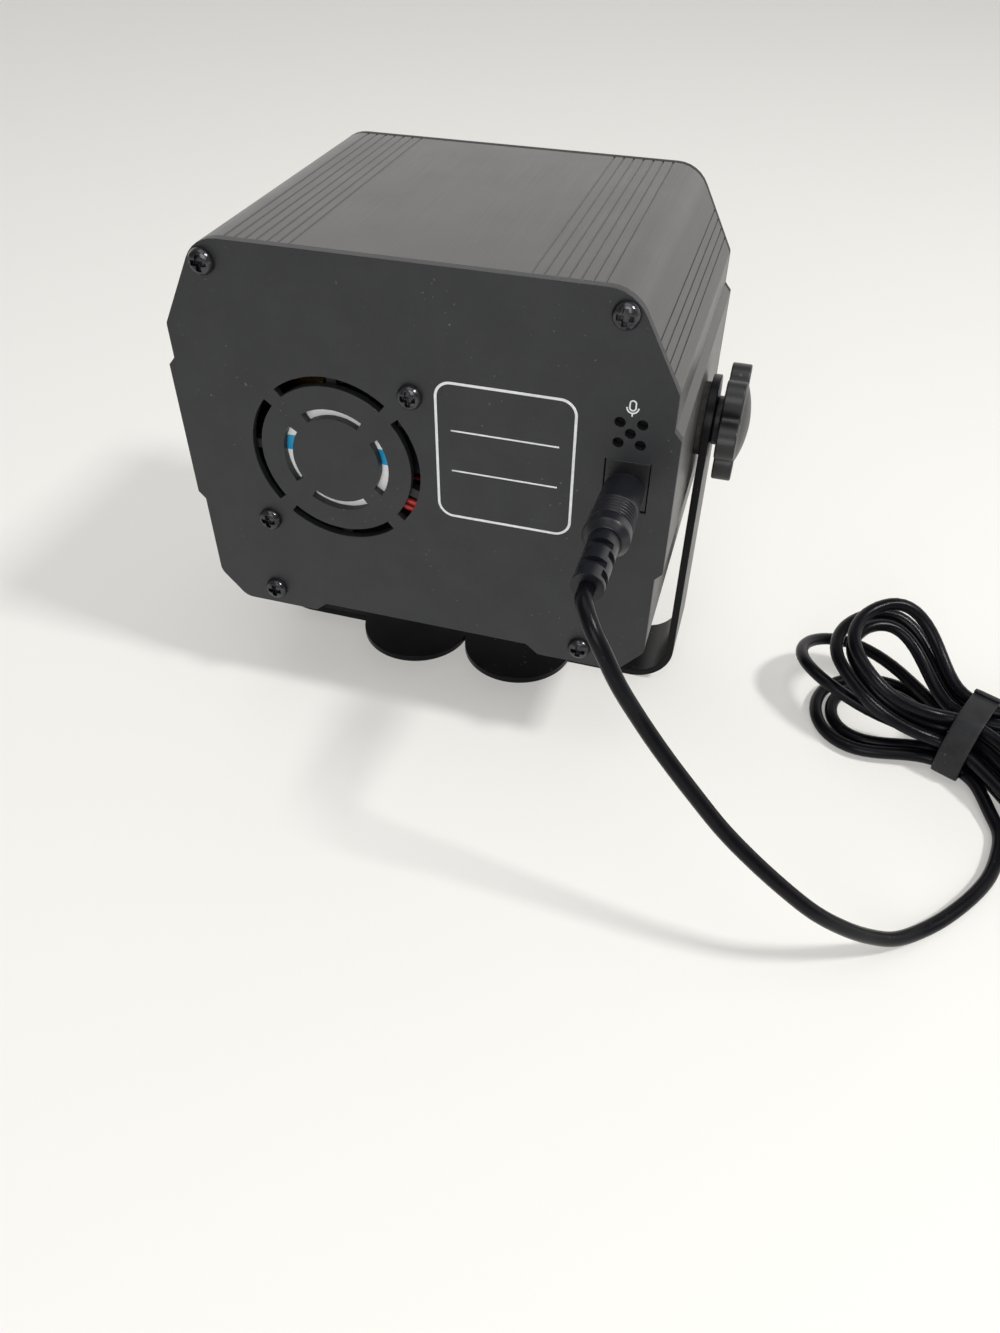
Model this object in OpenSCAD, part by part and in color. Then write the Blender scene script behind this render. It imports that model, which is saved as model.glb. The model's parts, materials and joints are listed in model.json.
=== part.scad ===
// Disco projector light: an extruded head on a U-bracket, with its lead in a tied hank.
// Millimetres, +Z up, +Y the way the light points. The origin is on the table under the pivot.

/* [Housing] */
// Width across the flat sides of the sleeve
body_w = 116.8; // [110:0.2:124]
// Height of the sleeve
body_h = 97.4; // [95:0.2:104]
// Length of the sleeve between its end plates
sleeve_len = 80.6; // [76:0.2:96]
// Wall thickness of the sleeve
wall = 2.2; // [1.8:0.1:2.8]
// Thickness of the front and rear plates
plate_t = 2; // [1.6:0.1:2.6]
// Height of the raised pad on each side
pad_h = 34.6; // [30:0.2:38]
// How far each side pad stands out
pad_out = 1.7; // [1:0.1:2.4]
// Height of the long upper chamfers
chamfer_h = 20.3; // [16:0.1:22]
// Width of the long upper chamfers
chamfer_w = 11; // [9:0.1:12]
// Depth of the recess under the sleeve
recess_d = 2.7; // [1.5:0.1:3.5]
// Width of that recess
recess_w = 56; // [40:0.5:60]
// Depth of the fine grooves along the sleeve
groove_d = 0.3; // [0.2:0.05:0.8]
// Pitch of those grooves
groove_pitch = 2.5; // [2:0.1:2.8]

/* [Pivot] */
// Height of the pivot above the table
pivot_z = 81; // [78:0.5:90]
// Height of the pivot above the middle of the sleeve
pivot_rise = 0.9; // [-0.5:0.1:2]
// Distance from the rear face to the pivot
pivot_back = 44.5; // [42:0.5:46]
// Diameter of the knob studs
stud_d = 5.96; // [4:0.02:7]
// Thickness of the friction washers
washer_t = 1.5; // [0.8:0.1:2.5]
// Outer diameter of the friction washers
washer_d = 18; // [12:0.5:21]
// Diameter of the threaded inserts in the sleeve
insert_d = 10; // [8.5:0.1:12]
// Length of the threaded inserts
insert_len = 11; // [8:0.5:12]

/* [Bracket] */
// Thickness of the strap
strap_t = 2; // [1.5:0.1:3]
// Width of the strap
strap_w = 22; // [18:0.5:26]
// Outer radius of the strap's bends
bend_r = 12; // [6:0.5:16]
// Radius of the round lobes of the base
lobe_r = 16.5; // [14:0.5:19]
// Distance of the lobe centres from the bracket's centre line, sideways
lobe_x = 16.5; // [14:0.5:20]
// Distance of the lobe centres from the bracket's centre line, lengthways
lobe_y = 8.6; // [4:0.2:12]
// Diameter of the screw holes in the base
base_hole_d = 5; // [3:0.1:6]
// Diameter of the middle hole in the base
clamp_hole_d = 6.6; // [5:0.1:9]

/* [Knobs] */
// Diameter over the knob's lobes
knob_d = 28.6; // [24:0.2:34]
// Thickness of the lobes
knob_t = 4.8; // [4:0.1:7]
// Diameter of the hub behind the lobes
knob_hub_d = 12; // [10:0.5:15]
// Length of that hub
knob_hub_len = 1.8; // [1:0.1:4]
// Number of lobes
knob_lobes = 6; // [5:1:8]

/* [Fan and rear plate] */
// Side of the fan's square frame
fan_w = 50; // [46:0.5:52]
// Depth of the fan
fan_t = 10; // [8:0.5:12]
// Sideways place of the fan
fan_x = -20.2; // [-23:0.2:-18]
// Height of the fan's centre above the pivot
fan_up = -1.5; // [-4:0.1:2]
// Spacing of the fan's screw holes
fan_pitch = 40; // [38:0.5:41]
// Outer radius of the outer ring of air slots
slot_r = 21.4; // [20:0.1:22.5]
// Width of the air slots
slot_w = 2.3; // [1.5:0.1:3]
// Outer radius of the inner ring of air slots
slot_in_r = 13.4; // [12:0.1:15]
// Diameter of the microphone holes
mic_hole_d = 2.4; // [1.6:0.1:2.6]
// Spacing of the outer four microphone holes
mic_pitch = 4.8; // [4:0.1:5.4]

/* [Power lead] */
// Diameter of the lead
cord_d = 3.5; // [3:0.1:3.9]
// Diameter of the plug's grip at the jack
grip_d = 9; // [8:0.1:10]
// Diameter of the plug's grip at its wide end
grip_wide_d = 10.3; // [9.6:0.1:11]
// Length of the plug's grip
grip_len = 21; // [16:0.5:26]
// Diameter of the strain relief
relief_d = 6.8; // [5.8:0.1:7.5]
// Length of the strain relief
relief_len = 15.5; // [12:0.5:20]
// Number of fine rings on the grip
grip_rings = 6; // [3:1:8]

/* [Optics] */
// Distance of each lens barrel from the middle
lens_x = 27; // [25:0.2:28]
// Outer diameter of the lens barrels
barrel_d = 38; // [36:0.5:40]
// Bore of the lens barrels
barrel_bore = 32; // [30:0.5:33.5]
// How far the barrels stand out of the front plate
barrel_out = 10; // [6:0.5:16]
// Diameter of the laser modules
laser_d = 12; // [9:0.1:12.6]
// Length of the laser modules
laser_len = 34; // [28:0.5:40]
// Distance of each laser from the grating's axis
laser_off = 13.5; // [13:0.1:14]
// Diameter of the grating's motor
motor_d = 12; // [9:0.1:12.6]
// Diameter of the grating disc
grating_d = 34; // [32:0.5:36]
// Length of the standoffs behind the front plate
standoff_len = 34; // [32:0.5:38]

/* [Hidden] */
$fn = 48;

// Clearances
run_gap = 0.05;    // round running fits, on the radius
seat_gap = 0.03;   // pieces that are pushed together, on the radius
side_play = 0.05;  // flat faces that slide on each other
drop_in = 0.2;     // loose fits of boards and sockets
air = 0.5;         // turning pieces from still ones

// Planes across the head
rear_y = -pivot_back;
rear_in = rear_y + plate_t;
front_in = rear_in + sleeve_len;
front_y = front_in + plate_t;
pivot_up = body_h / 2 + pivot_rise;
zb = pivot_z - pivot_up;
hw = body_w / 2;
pad_x = hw + pad_out;
top_w = hw - chamfer_w;

// Sleeve outline
pad_step = 1.9;
pad_z0 = pivot_up - pad_h / 2;
pad_z1 = pivot_up + pad_h / 2;
top_round = 9;
chamfer_round = 2;
foot_w = 6.4;
foot_h = 7.6;
foot_round = 4;
recess_slope = 3.2;
arc_steps = 6;
outline_half = [
    [recess_w / 2, recess_d, 0], [recess_w / 2 + recess_slope, 0, 0],
    [hw - foot_w, 0, foot_round], [hw, foot_h, foot_round],
    [hw, pad_z0 - pad_step, 0], [pad_x, pad_z0, 0], [pad_x, pad_z1, 0], [hw, pad_z1 + pad_step, 0],
    [hw, body_h - chamfer_h, chamfer_round], [top_w, body_h, top_round]];
chamfer_turn = atan(chamfer_w / chamfer_h);
cavity_w = hw - wall;
cavity_floor = recess_d + wall;
cavity_half = [
    [cavity_w - foot_w, cavity_floor, 0], [cavity_w, cavity_floor + foot_h, 0],
    [cavity_w, body_h - chamfer_h - wall * tan(chamfer_turn / 2), 0],
    [top_w - wall * tan(45 - chamfer_turn / 2), body_h - wall, top_round - wall]];
groove_count = 7;
groove_last = top_w - 6.4;
chamfer_grooves = 4;

// Corner screws of the plates
screw_d = 2.9;
screw_len = 10;
head_d = 5.8;
head_h = 2.1;
top_screw_x = top_w - 1.4;
top_screw_z = body_h - 4.9;
foot_screw_x = hw - 16.4;
foot_screw_z = 5.4;
boss_d = 7;
screw_hole_d = screw_d + 4 * drop_in / 2;
corner_screws = [[-top_screw_x, top_screw_z], [top_screw_x, top_screw_z],
    [-foot_screw_x, foot_screw_z], [foot_screw_x, foot_screw_z]];

// Bracket and knobs
arm_in = pad_x + washer_t + side_play;
arm_out = arm_in + strap_t;
knob_x = arm_out + side_play;
stud_hole_d = stud_d + 2 * run_gap;
knob_core_d = 20;
knob_turn = 180;   // one lobe points back
knob_lobe_d = 9;
cap_r = 9.5;
cap_h = 2;
cap_sphere = (cap_r * cap_r + cap_h * cap_h) / (2 * cap_h);
stud_in_knob = knob_hub_len + 3;
stud_tip = pad_x - insert_len + 1;

// Fan
fan_z = pivot_z + fan_up;
slot_span = 79;
slot_in_span = 68;
fan_round = 3;
fan_bore = fan_w - 2.6;
fan_hole_d = 4.3;
fan_base_r = 13.9;
fan_base_t = 2.2;
fan_base_sunk = 0.4;
sticker_r = 13.5;
sticker_t = 0.2;
strut_w = 2.4;
strut_angles = [90, 180, 270];
lead_strut = -20;
bearing_d = 6;
shaft_d = 2;
rotor_hub_r = 12.4;
rotor_wall = 1.2;
rotor_tip_r = fan_bore / 2 - air;
rotor_y0 = rear_in + fan_base_sunk + fan_base_t + air;
rotor_y1 = rear_in + fan_t - air / 2;
blade_t = 1;
blade_pitch = 40;
blade_count = 7;
blade_chord = (rotor_y1 - rotor_y0 - blade_t) / sin(blade_pitch);
fan_nut_w = 5.5;
fan_nut_t = 2.4;
fan_screw_len = plate_t + fan_t + fan_nut_t + 0.6;
fan_corners = [[1, 1], [-1, -1]];
lead_d = 1.3;
lead_run_up = 7;

// Board, socket and microphone on the right-hand side
jack_x = 49.3;
jack_z = pivot_z + 4.6;
jack_w = 9.8;
jack_h = 12;
jack_len = 14;
jack_hole_d = 6.2;
jack_hole_len = 11;
jack_pin_d = 2;
jack_set_back = 0.4;
mic_up = 17.4;
mic_z = pivot_z + mic_up;
mic_x = 49.1;
mic_d = 9;
mic_t = 6.5;
board_t = 1.6;
board_x1 = jack_x - jack_w / 2;
board_x0 = board_x1 - board_t;
board_y0 = rear_in + 1;
board_len = 40;
board_z0 = zb + foot_screw_z + boss_d / 2 + 1;
board_z1 = zb + top_screw_z - boss_d / 2 - 1;
rail_t = 1.5;
rail_h = 6;
rail_low = board_z0 - zb + rail_h - 1;
rail_high = board_z1 - zb - rail_h + 1;
cap_part_d = 8;
cap_part_len = 12;
chip_w = 12;
chip_t = 2;

// Optics
lens_z = pivot_z;
plate2_t = 2;
plate2_rim = 1.5;
plate2_w = 2 * (lens_x + laser_off + laser_d / 2 + plate2_rim);
plate2_y1 = front_in - standoff_len;
plate2_y0 = plate2_y1 - plate2_t;
post_w = 5.5;
post_nut_t = 2.4;
post_screw_d = 2.9;
block_w = 44;
block_h = 18;
block_t = 12;
laser_y1 = plate2_y1 + block_t + 1;
laser_y0 = laser_y1 - laser_len;
laser_lead_back = 4;
laser_lead_drop = 14;
laser_lead_apart = 3;
motor_len = 18;
motor_y1 = plate2_y1 + block_t;
motor_shaft_d = 2;
motor_shaft_len = 8;
grating_y = motor_y1 + 4.5;
grating_t = 1.2;
grating_hub_d = 8;
grating_flange_d = 12;
led_board_d = 20;
led_board_t = 1.6;
emitter_d = 3;
emitter_pitch = 4.4;
led_y = plate2_y1 + led_board_t;
collimator_in_d = 15;
collimator_out_d = 27;
collimator_len = 12;
collimator_wall = 1.5;
sink_w = 28;
sink_base = 4;
sink_depth = 18;
fin_count = 6;
fin_t = 1.4;
flange_d = barrel_d + 7;
post_in = 9;
post_rim = 4;
post_gap = 0.5;
post_x = lens_x + post_in;
post_z = sqrt(pow(flange_d / 2 + head_d / 2 + post_gap, 2) - pow(post_in, 2));
plate2_h = 2 * (post_z + post_rim);
sink_gap = 1.1;
sink_h = 2 * (post_z - post_w / cos(30) / 2 - sink_gap);
led_lead_x = [lens_x - lead_d, lens_x + lead_d];
led_lead_back = 5;
led_lead_up = [sink_h / 2 + 2.4, sink_h / 2 + 5];
flange_t = 2;
barrel_in = 11;
ring_nut_d = barrel_d + 6;
ring_nut_t = 4;
glass_d = barrel_bore + 2;
glass_t = 2;
glass_set_back = 1;
lens_rise = 4;
ir_down = 16.8;
ir_up = body_h - pivot_up - ir_down;
ir_w = 7;
ir_h = 7;
ir_t = 5;
ir_dome_d = 5;

// Plug on the power lead
plug_gap = 1.1;
plug_y = rear_y - plug_gap;
barrel_tip = rear_y + jack_set_back + jack_hole_len - 1.5;
plug_barrel_d = 5.5;
plug_barrel_bore = 2.4;
grip_bevel = 0.8;
grip_ring_d = 0.45;
grip_ring_pitch = 1.1;
grip_ring_end = 2.6;
grip_straight = grip_len - 2 * grip_bevel;
grip_ring_at = grip_straight - grip_ring_end - grip_rings * grip_ring_pitch;
relief_core = 4.4;
relief_slot = 2.1;
relief_lead = 3.2;
relief_web = 0.5;
relief_collar = 1.2;
relief_pitch = relief_len - relief_lead - relief_collar - 2 * relief_slot - relief_web;
plug_end_y = plug_y - grip_len - relief_len;

// Route of the lead from the plug to the hank, chosen by hand
free_points = [[52, -90, 83], [55, -92, 79], [59, -93, 72], [64, -93, 64], [70, -94, 56.5], [77, -95, 48.5],
    [84, -96, 41], [91, -97, 35], [99, -97.5, 28.5], [107, -97, 22], [115, -94, 15], [122, -90, 9], [128, -86, 5],
    [134, -80.5, 2.5], [140, -74.5, 2], [146, -67, 2], [150.5, -59.5, 2], [153, -52, 2], [154, -44.5, 2],
    [152, -38, 2.4]];
// Route of the lead from the hank to its far plug, chosen by hand
tail_points = [[161, -12.6, 16.6], [171, -10.6, 16.6], [181, -9.2, 14], [189.5, -6.2, 9.8],
    [196, -1.2, 6.2], [199.5, 5, 4.3]];
tube_sides = 8;

// Hank: one tube that winds in and out again in four layers of one and a half loops
hank_at = [145, -18];
hank_turn = 156;
hank_turns = 5.5;
layer_turns = 1.5;
half_run = 28;
fold_r = 10.5;
waist_in = 1.2;
lane_step = 4.3;
layer_step = 4.2;
climb = 0.11;
end_z = 2;
waist_lift = 1.5;
fan_unseen = 0.3;
sway = 3;
calm_run = 6;
loop_rings = 24;
hank_sides = 6;
check_steps = 72;
// Loops at the seen end, lowest layer first: longer by, aside by, higher by, and rise across them
layer_reach = [-4, 8, -3, -5];
layer_sway = [-2, 2, 3, 1];
layer_rise = [0, 6, 12, 14];
layer_tilt = [0, -0.25, 0.1, 0.2];
tie_w = 7;
tie_t = 1;
tie_gap = 0.3;
tie_widen = 0.7;
tie_round = 3;

// Far plug of the lead
usb_at = [200, 11.5];
usb_grip_w = 16;
usb_grip_h = 8;
usb_grip_len = 24;
usb_grip_round = 2.5;
usb_neck_d = 5.6;
usb_neck_len = 7;
usb_shell_w = 12;
usb_shell_h = 4.5;
usb_shell_len = 18.8;
usb_shell_t = 0.4;
usb_tongue_t = 1.9;
usb_z = usb_grip_h / 2 + side_play;

// Geometry helpers
function unit(v) = v / norm(v);

// Arc of radius r that rounds the corner b between its neighbours a and c
function corner(a, b, c, r) =
    r <= 0 ? [b] :
    let (
        u = unit(a - b), v = unit(c - b), half = acos(u * v) / 2,
        mid = b + unit(u + v) * r / sin(half),
        from = b + u * r / tan(half) - mid, to = b + v * r / tan(half) - mid,
        a0 = atan2(from[1], from[0]), turn = (atan2(to[1], to[0]) - a0 + 540) % 360 - 180)
    [for (i = [0 : arc_steps]) mid + r * [cos(a0 + turn * i / arc_steps), sin(a0 + turn * i / arc_steps)]];

function flat(p) = [p[0], p[1]];

// Closed outline of points [x, y, radius] with rounded corners
function rounded(p) = let (n = len(p))
    [for (i = [0 : n - 1]) each corner(flat(p[(i + n - 1) % n]), flat(p[i]), flat(p[(i + 1) % n]), p[i][2])];

// Right half of an outline and its mirror image
function both_halves(p) = concat(p, [for (i = [len(p) - 1 : -1 : 0]) [-p[i][0], p[i][1], p[i][2]]]);

function box_points(x0, x1, y0, y1, r) = [[x0, y0, r], [x1, y0, r], [x1, y1, r], [x0, y1, r]];

// Smooth curve through points, straight along its first and last stretch
function curve(p, steps) = let (n = len(p)) concat([p[0]],
    [for (i = [1 : n - 3], k = [0 : steps - 1]) let (t = k / steps)
        0.5 * (2 * p[i] + (p[i + 1] - p[i - 1]) * t
            + (2 * p[i - 1] - 5 * p[i] + 4 * p[i + 1] - p[i + 2]) * t * t
            + (3 * p[i] - p[i - 1] - 3 * p[i + 1] + p[i + 2]) * t * t * t)],
    [p[n - 2], p[n - 1]]);

// Ring of points round c, square to the direction t
function ring(c, t, d, sides) = let (side = unit(cross(t, [0, 0, 1])), up = cross(side, t))
    [for (j = [0 : sides - 1]) c + d / 2 * (cos(360 * j / sides) * side + sin(360 * j / sides) * up)];

// Closed tube of diameter d along a path
module tube(path, d, sides) {
    last = len(path) - 1;
    points = [for (i = [0 : last])
        each ring(path[i], unit(path[min(i + 1, last)] - path[max(i - 1, 0)]), d, sides)];
    walls = [for (i = [0 : last - 1], j = [0 : sides - 1])
        let (a = i * sides + j, b = i * sides + (j + 1) % sides)
        each [[a, b, b + sides], [a, b + sides, a + sides]]];
    near = [for (j = [1 : sides - 2]) [0, j + 1, j]];
    far = [for (j = [1 : sides - 2]) [last * sides, last * sides + j, last * sides + j + 1]];
    polyhedron(points, concat(walls, near, far));
}

// Flat shape in the sleeve's cross-section, carried from y0 to y1
module slab(y0, y1) {
    translate([0, y1, zb]) rotate([90, 0, 0]) linear_extrude(y1 - y0) children();
}

// Round bar along Y
module rod(x, z, y0, y1, d) {
    translate([x, y1, z]) rotate([90, 0, 0]) cylinder(d = d, h = y1 - y0);
}

// Round bar along X
module cross_rod(x0, x1, d) {
    translate([x0, 0, pivot_z]) rotate([0, 90, 0]) cylinder(d = d, h = x1 - x0);
}

// Upright box from its lowest to its highest corner
module block(a, b) {
    translate(a) cube(b - a);
}

// Round wire through points
module wire(points, d) {
    for (i = [0 : len(points) - 2]) {
        step = points[i + 1] - points[i];
        translate(points[i])
            rotate([0, acos(step[2] / norm(step)), atan2(step[1], step[0])])
                cylinder(d = d, h = norm(step), $fn = 16);
    }
    for (i = [1 : len(points) - 2]) translate(points[i]) sphere(d = d, $fn = 16);
}

// Pan-head screw with a cross recess; its head's seat is at y and it points along aim * Y
module screw(x, z, y, len, aim) {
    recess_w = head_d * 0.62;
    recess_t = head_d * 0.21;
    recess_h = head_h * 0.7;
    translate([x, y, z]) rotate([90 * aim, 0, 0]) difference() {
        union() {
            rotate_extrude($fn = 32) polygon([[0, 0], [head_d / 2, 0], [head_d / 2, head_h * 0.4],
                [head_d * 0.42, head_h * 0.78], [head_d * 0.25, head_h], [0, head_h]]);
            translate([0, 0, -len]) cylinder(d = screw_d, h = len, $fn = 24);
        }
        for (a = [0, 90]) rotate(a) translate([0, 0, head_h - recess_h / 2 + 0.01])
            cube([recess_w, recess_t, recess_h], center = true);
    }
}

// Hexagonal nut along Y
module nut(x, z, y0, y1, w, hole_d) {
    difference() {
        translate([x, y1, z]) rotate([90, 0, 0]) cylinder(d = w / cos(30), h = y1 - y0, $fn = 6);
        rod(x, z, y0 - 1, y1 + 1, hole_d);
    }
}

// Part of a ring between two radii, as seen in the cross-section
module arc_slot(r0, r1, middle, span) {
    intersection() {
        difference() {
            circle(r = r1);
            circle(r = r0);
        }
        polygon([[0, 0], for (a = [-span / 2, 0, span / 2]) 2 * r1 * [cos(middle + a), sin(middle + a)]]);
    }
}

// Stand
module arm(side) {
    translate([side > 0 ? arm_in : -arm_out, 0, 0]) rotate([90, 0, 90]) linear_extrude(strap_t) union() {
        translate([0, pivot_z]) circle(d = strap_w);
        translate([-strap_w / 2, bend_r]) square([strap_w, pivot_z - bend_r]);
    }
}

module bend(side) {
    intersection() {
        translate([side * (arm_out - bend_r), strap_w / 2, bend_r]) rotate([90, 0, 0]) difference() {
            cylinder(r = bend_r, h = strap_w);
            translate([0, 0, -1]) cylinder(r = bend_r - strap_t, h = strap_w + 2);
        }
        translate([side > 0 ? arm_out - bend_r : -arm_out, -strap_w, 0]) cube([bend_r, 2 * strap_w, bend_r]);
    }
}

module bracket() {
    color("#1c1c1e") difference() {
        union() {
            for (side = [-1, 1]) {
                arm(side);
                bend(side);
                for (end = [-1, 1])
                    translate([side * lobe_x, end * lobe_y, 0]) cylinder(r = lobe_r, h = strap_t);
            }
            block([-arm_out + bend_r, -strap_w / 2, 0], [arm_out - bend_r, strap_w / 2, strap_t]);
        }
        cross_rod(-arm_out - 1, arm_out + 1, stud_hole_d);
        for (side = [-1, 1]) translate([side * lobe_x, 0, -1]) cylinder(d = base_hole_d, h = strap_t + 2);
        translate([0, 0, -1]) cylinder(d = clamp_hole_d, h = strap_t + 2);
    }
}

// Head: sleeve and plates
module outline() {
    polygon(rounded(both_halves(outline_half)));
}

module grooves() {
    for (side = [-1, 1]) {
        for (i = [0 : groove_count - 1]) translate([side * (groove_last - i * groove_pitch), body_h])
            rotate(45) square(groove_d * sqrt(2), center = true);
        for (i = [0 : chamfer_grooves - 1])
            translate([side * hw, body_h - chamfer_h]
                + (4 + i * groove_pitch) * [-side * sin(chamfer_turn), cos(chamfer_turn)])
                rotate(45 + side * (90 - chamfer_turn)) square(groove_d * sqrt(2), center = true);
    }
}

module inner_ribs() {
    for (p = corner_screws) translate(p) circle(d = boss_d);
    for (x = [board_x0 - drop_in / 2 - rail_t, board_x1 + drop_in / 2]) {
        translate([x, foot_screw_z]) square([rail_t, rail_low - foot_screw_z]);
        translate([x, rail_high]) square([rail_t, body_h - wall / 2 - rail_high]);
    }
}

module body_shell() {
    color("#2a2a2c") difference() {
        slab(rear_in, front_in) difference() {
            union() {
                difference() {
                    outline();
                    polygon(rounded(both_halves(cavity_half)));
                }
                intersection() {
                    outline();
                    inner_ribs();
                }
            }
            for (p = corner_screws) translate(p) circle(d = screw_d + 2 * seat_gap);
            grooves();
        }
        for (side = [-1, 1]) cross_rod(side > 0 ? cavity_w - 1 : -pad_x - 1, side > 0 ? pad_x + 1 : 1 - cavity_w,
            insert_d + 2 * seat_gap);
    }
}

module plate(y0) {
    slab(y0, y0 + plate_t) difference() {
        outline();
        for (p = corner_screws) translate(p) circle(d = screw_hole_d);
    }
}

module rear_plate() {
    color("#232325") difference() {
        plate(rear_y);
        slab(rear_y - 1, rear_in + 1) {
            translate([fan_x, fan_z - zb]) {
                for (a = [0 : 90 : 270]) {
                    arc_slot(slot_r - slot_w, slot_r, a, slot_span);
                    arc_slot(slot_in_r - slot_w, slot_in_r, a, slot_in_span);
                }
                for (c = fan_corners) translate(c * fan_pitch / 2) circle(d = screw_hole_d);
            }
            translate([mic_x, mic_z - zb]) {
                circle(d = mic_hole_d);
                for (x = [-1, 1], z = [-1, 1]) translate([x, z] * mic_pitch / 2) circle(d = mic_hole_d);
            }
            translate([jack_x, jack_z - zb])
                square([jack_w + 2 * drop_in, jack_h + 2 * drop_in], center = true);
        }
    }
}

module front_plate() {
    color("#232325") difference() {
        plate(front_in);
        for (side = [-1, 1]) {
            rod(side * lens_x, lens_z, front_in - 1, front_y + 1, barrel_d + 2 * run_gap);
            for (up = [-1, 1])
                rod(side * post_x, pivot_z + up * post_z, front_in - 1, front_y + 1, screw_hole_d);
        }
        rod(0, pivot_z + ir_up, front_in - 1, front_y + 1, ir_dome_d + 2 * drop_in);
    }
}

module rear_plate_screws() {
    color("#161616") for (p = corner_screws) screw(p[0], zb + p[1], rear_y, screw_len, 1);
}

module front_plate_screws() {
    color("#161616") for (p = corner_screws) screw(p[0], zb + p[1], front_y, screw_len, -1);
}

// Pivot
module pivot_inserts() {
    color("#b8923e") for (side = [-1, 1]) difference() {
        cross_rod(side > 0 ? pad_x - insert_len : -pad_x, side > 0 ? pad_x : insert_len - pad_x, insert_d);
        cross_rod(-pad_x - 1, pad_x + 1, stud_hole_d);
    }
}

module friction_washers() {
    color("#55504a") for (side = [-1, 1]) difference() {
        cross_rod(side > 0 ? pad_x : -pad_x - washer_t, side > 0 ? pad_x + washer_t : -pad_x, washer_d);
        cross_rod(-arm_in - 1, arm_in + 1, stud_hole_d);
    }
}

module knob() {
    star_d = knob_d - knob_lobe_d;
    difference() {
        translate([knob_x, 0, pivot_z]) rotate([90, 0, 90]) {
            cylinder(d = knob_hub_d, h = knob_hub_len + knob_t / 2);
            translate([0, 0, knob_hub_len]) linear_extrude(knob_t) {
                circle(d = knob_core_d);
                for (i = [0 : knob_lobes - 1]) rotate(knob_turn + 360 * i / knob_lobes)
                    translate([star_d / 2, 0]) circle(d = knob_lobe_d);
            }
            translate([0, 0, knob_hub_len + knob_t]) intersection() {
                translate([0, 0, cap_h - cap_sphere]) sphere(r = cap_sphere);
                cylinder(r = cap_r + 1, h = cap_h + 1);
            }
        }
        cross_rod(knob_x - 1, knob_x + stud_in_knob, stud_d + 2 * seat_gap);
    }
}

module knob_stud() {
    cross_rod(stud_tip, knob_x + stud_in_knob - seat_gap, stud_d);
}

module knob_right() {
    color("#1a1a1b") knob();
}

module knob_left() {
    color("#1a1a1b") rotate([0, 0, 180]) knob();
}

module knob_stud_right() {
    color("silver") knob_stud();
}

module knob_stud_left() {
    color("silver") rotate([0, 0, 180]) knob_stud();
}

// Fan
module fan_frame() {
    base_y1 = rear_in + fan_base_sunk + fan_base_t;
    half = fan_w / 2;
    color("#1b1b1b") difference() {
        union() {
            difference() {
                slab(rear_in, rear_in + fan_t) translate([fan_x, fan_z - zb])
                    polygon(rounded(box_points(-half, half, -half, half, fan_round)));
                rod(fan_x, fan_z, rear_in - 1, rear_in + fan_t + 1, fan_bore);
            }
            rod(fan_x, fan_z, rear_in + fan_base_sunk, base_y1, 2 * fan_base_r);
            rod(fan_x, fan_z, rear_in + fan_base_sunk, rotor_y1 - rotor_wall - air, bearing_d);
            slab(rear_in + fan_base_sunk, base_y1) translate([fan_x, fan_z - zb])
                for (a = concat(strut_angles, lead_strut)) rotate(a)
                    translate([fan_base_r - 1, -strut_w / 2]) square([half - fan_base_r, strut_w]);
        }
        rod(fan_x, fan_z, rear_in + fan_base_sunk + sticker_t, rear_in + fan_t, shaft_d + 2 * run_gap);
        for (x = [-1, 1], z = [-1, 1])
            rod(fan_x + x * fan_pitch / 2, fan_z + z * fan_pitch / 2, rear_in - 1, rear_in + fan_t + 1, fan_hole_d);
    }
}

module fan_rotor() {
    color("#202020") {
        difference() {
            rod(fan_x, fan_z, rotor_y0, rotor_y1, 2 * rotor_hub_r);
            rod(fan_x, fan_z, rotor_y0 - 1, rotor_y1 - rotor_wall, 2 * (rotor_hub_r - rotor_wall));
        }
        rod(fan_x, fan_z, rear_in + fan_base_sunk + 1, rotor_y1, shaft_d);
        translate([fan_x, (rotor_y0 + rotor_y1) / 2, fan_z]) intersection() {
            for (i = [0 : blade_count - 1]) rotate([0, 360 * i / blade_count, 0])
                translate([(rotor_hub_r + rotor_tip_r) / 2, 0, 0]) rotate([blade_pitch, 0, 0])
                    cube([rotor_tip_r - rotor_hub_r + rotor_wall, blade_chord, blade_t], center = true);
            rotate([90, 0, 0]) cylinder(r = rotor_tip_r, h = fan_t, center = true);
        }
    }
}

module fan_sticker() {
    color("white") rod(fan_x, fan_z, rear_in + fan_base_sunk - sticker_t, rear_in + fan_base_sunk, 2 * sticker_r);
}

module fan_screws() {
    color("#161616") for (c = fan_corners)
        screw(fan_x + c[0] * fan_pitch / 2, fan_z + c[1] * fan_pitch / 2, rear_y, fan_screw_len, 1);
}

module fan_nuts() {
    y = rear_in + fan_t;
    color("silver") for (c = fan_corners)
        nut(fan_x + c[0] * fan_pitch / 2, fan_z + c[1] * fan_pitch / 2, y, y + fan_nut_t, fan_nut_w,
            screw_d + 2 * seat_gap);
}

// Two leads from the fan's front edge to the board
module fan_leads() {
    y = rear_in + fan_t;
    x = fan_x + fan_w / 2 - lead_d;
    color("#b02020") for (i = [0, 1]) {
        z = fan_z - fan_w / 4 - 2.5 * i * lead_d;
        wire([[x, y, z], [x, y + lead_run_up, z], [board_x0, y + lead_run_up, z]], lead_d);
    }
}

// Board, socket and microphone
module driver_board() {
    color("#1f5a34") block([board_x0, board_y0, board_z0], [board_x1, board_y0 + board_len, board_z1]);
}

module board_capacitors() {
    color("#22304e") for (i = [0, 1])
        translate([board_x0 - cap_part_len, board_y0 + 14 + i * (cap_part_d + 2), board_z0 + 10])
            rotate([0, 90, 0]) cylinder(d = cap_part_d, h = cap_part_len);
}

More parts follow.
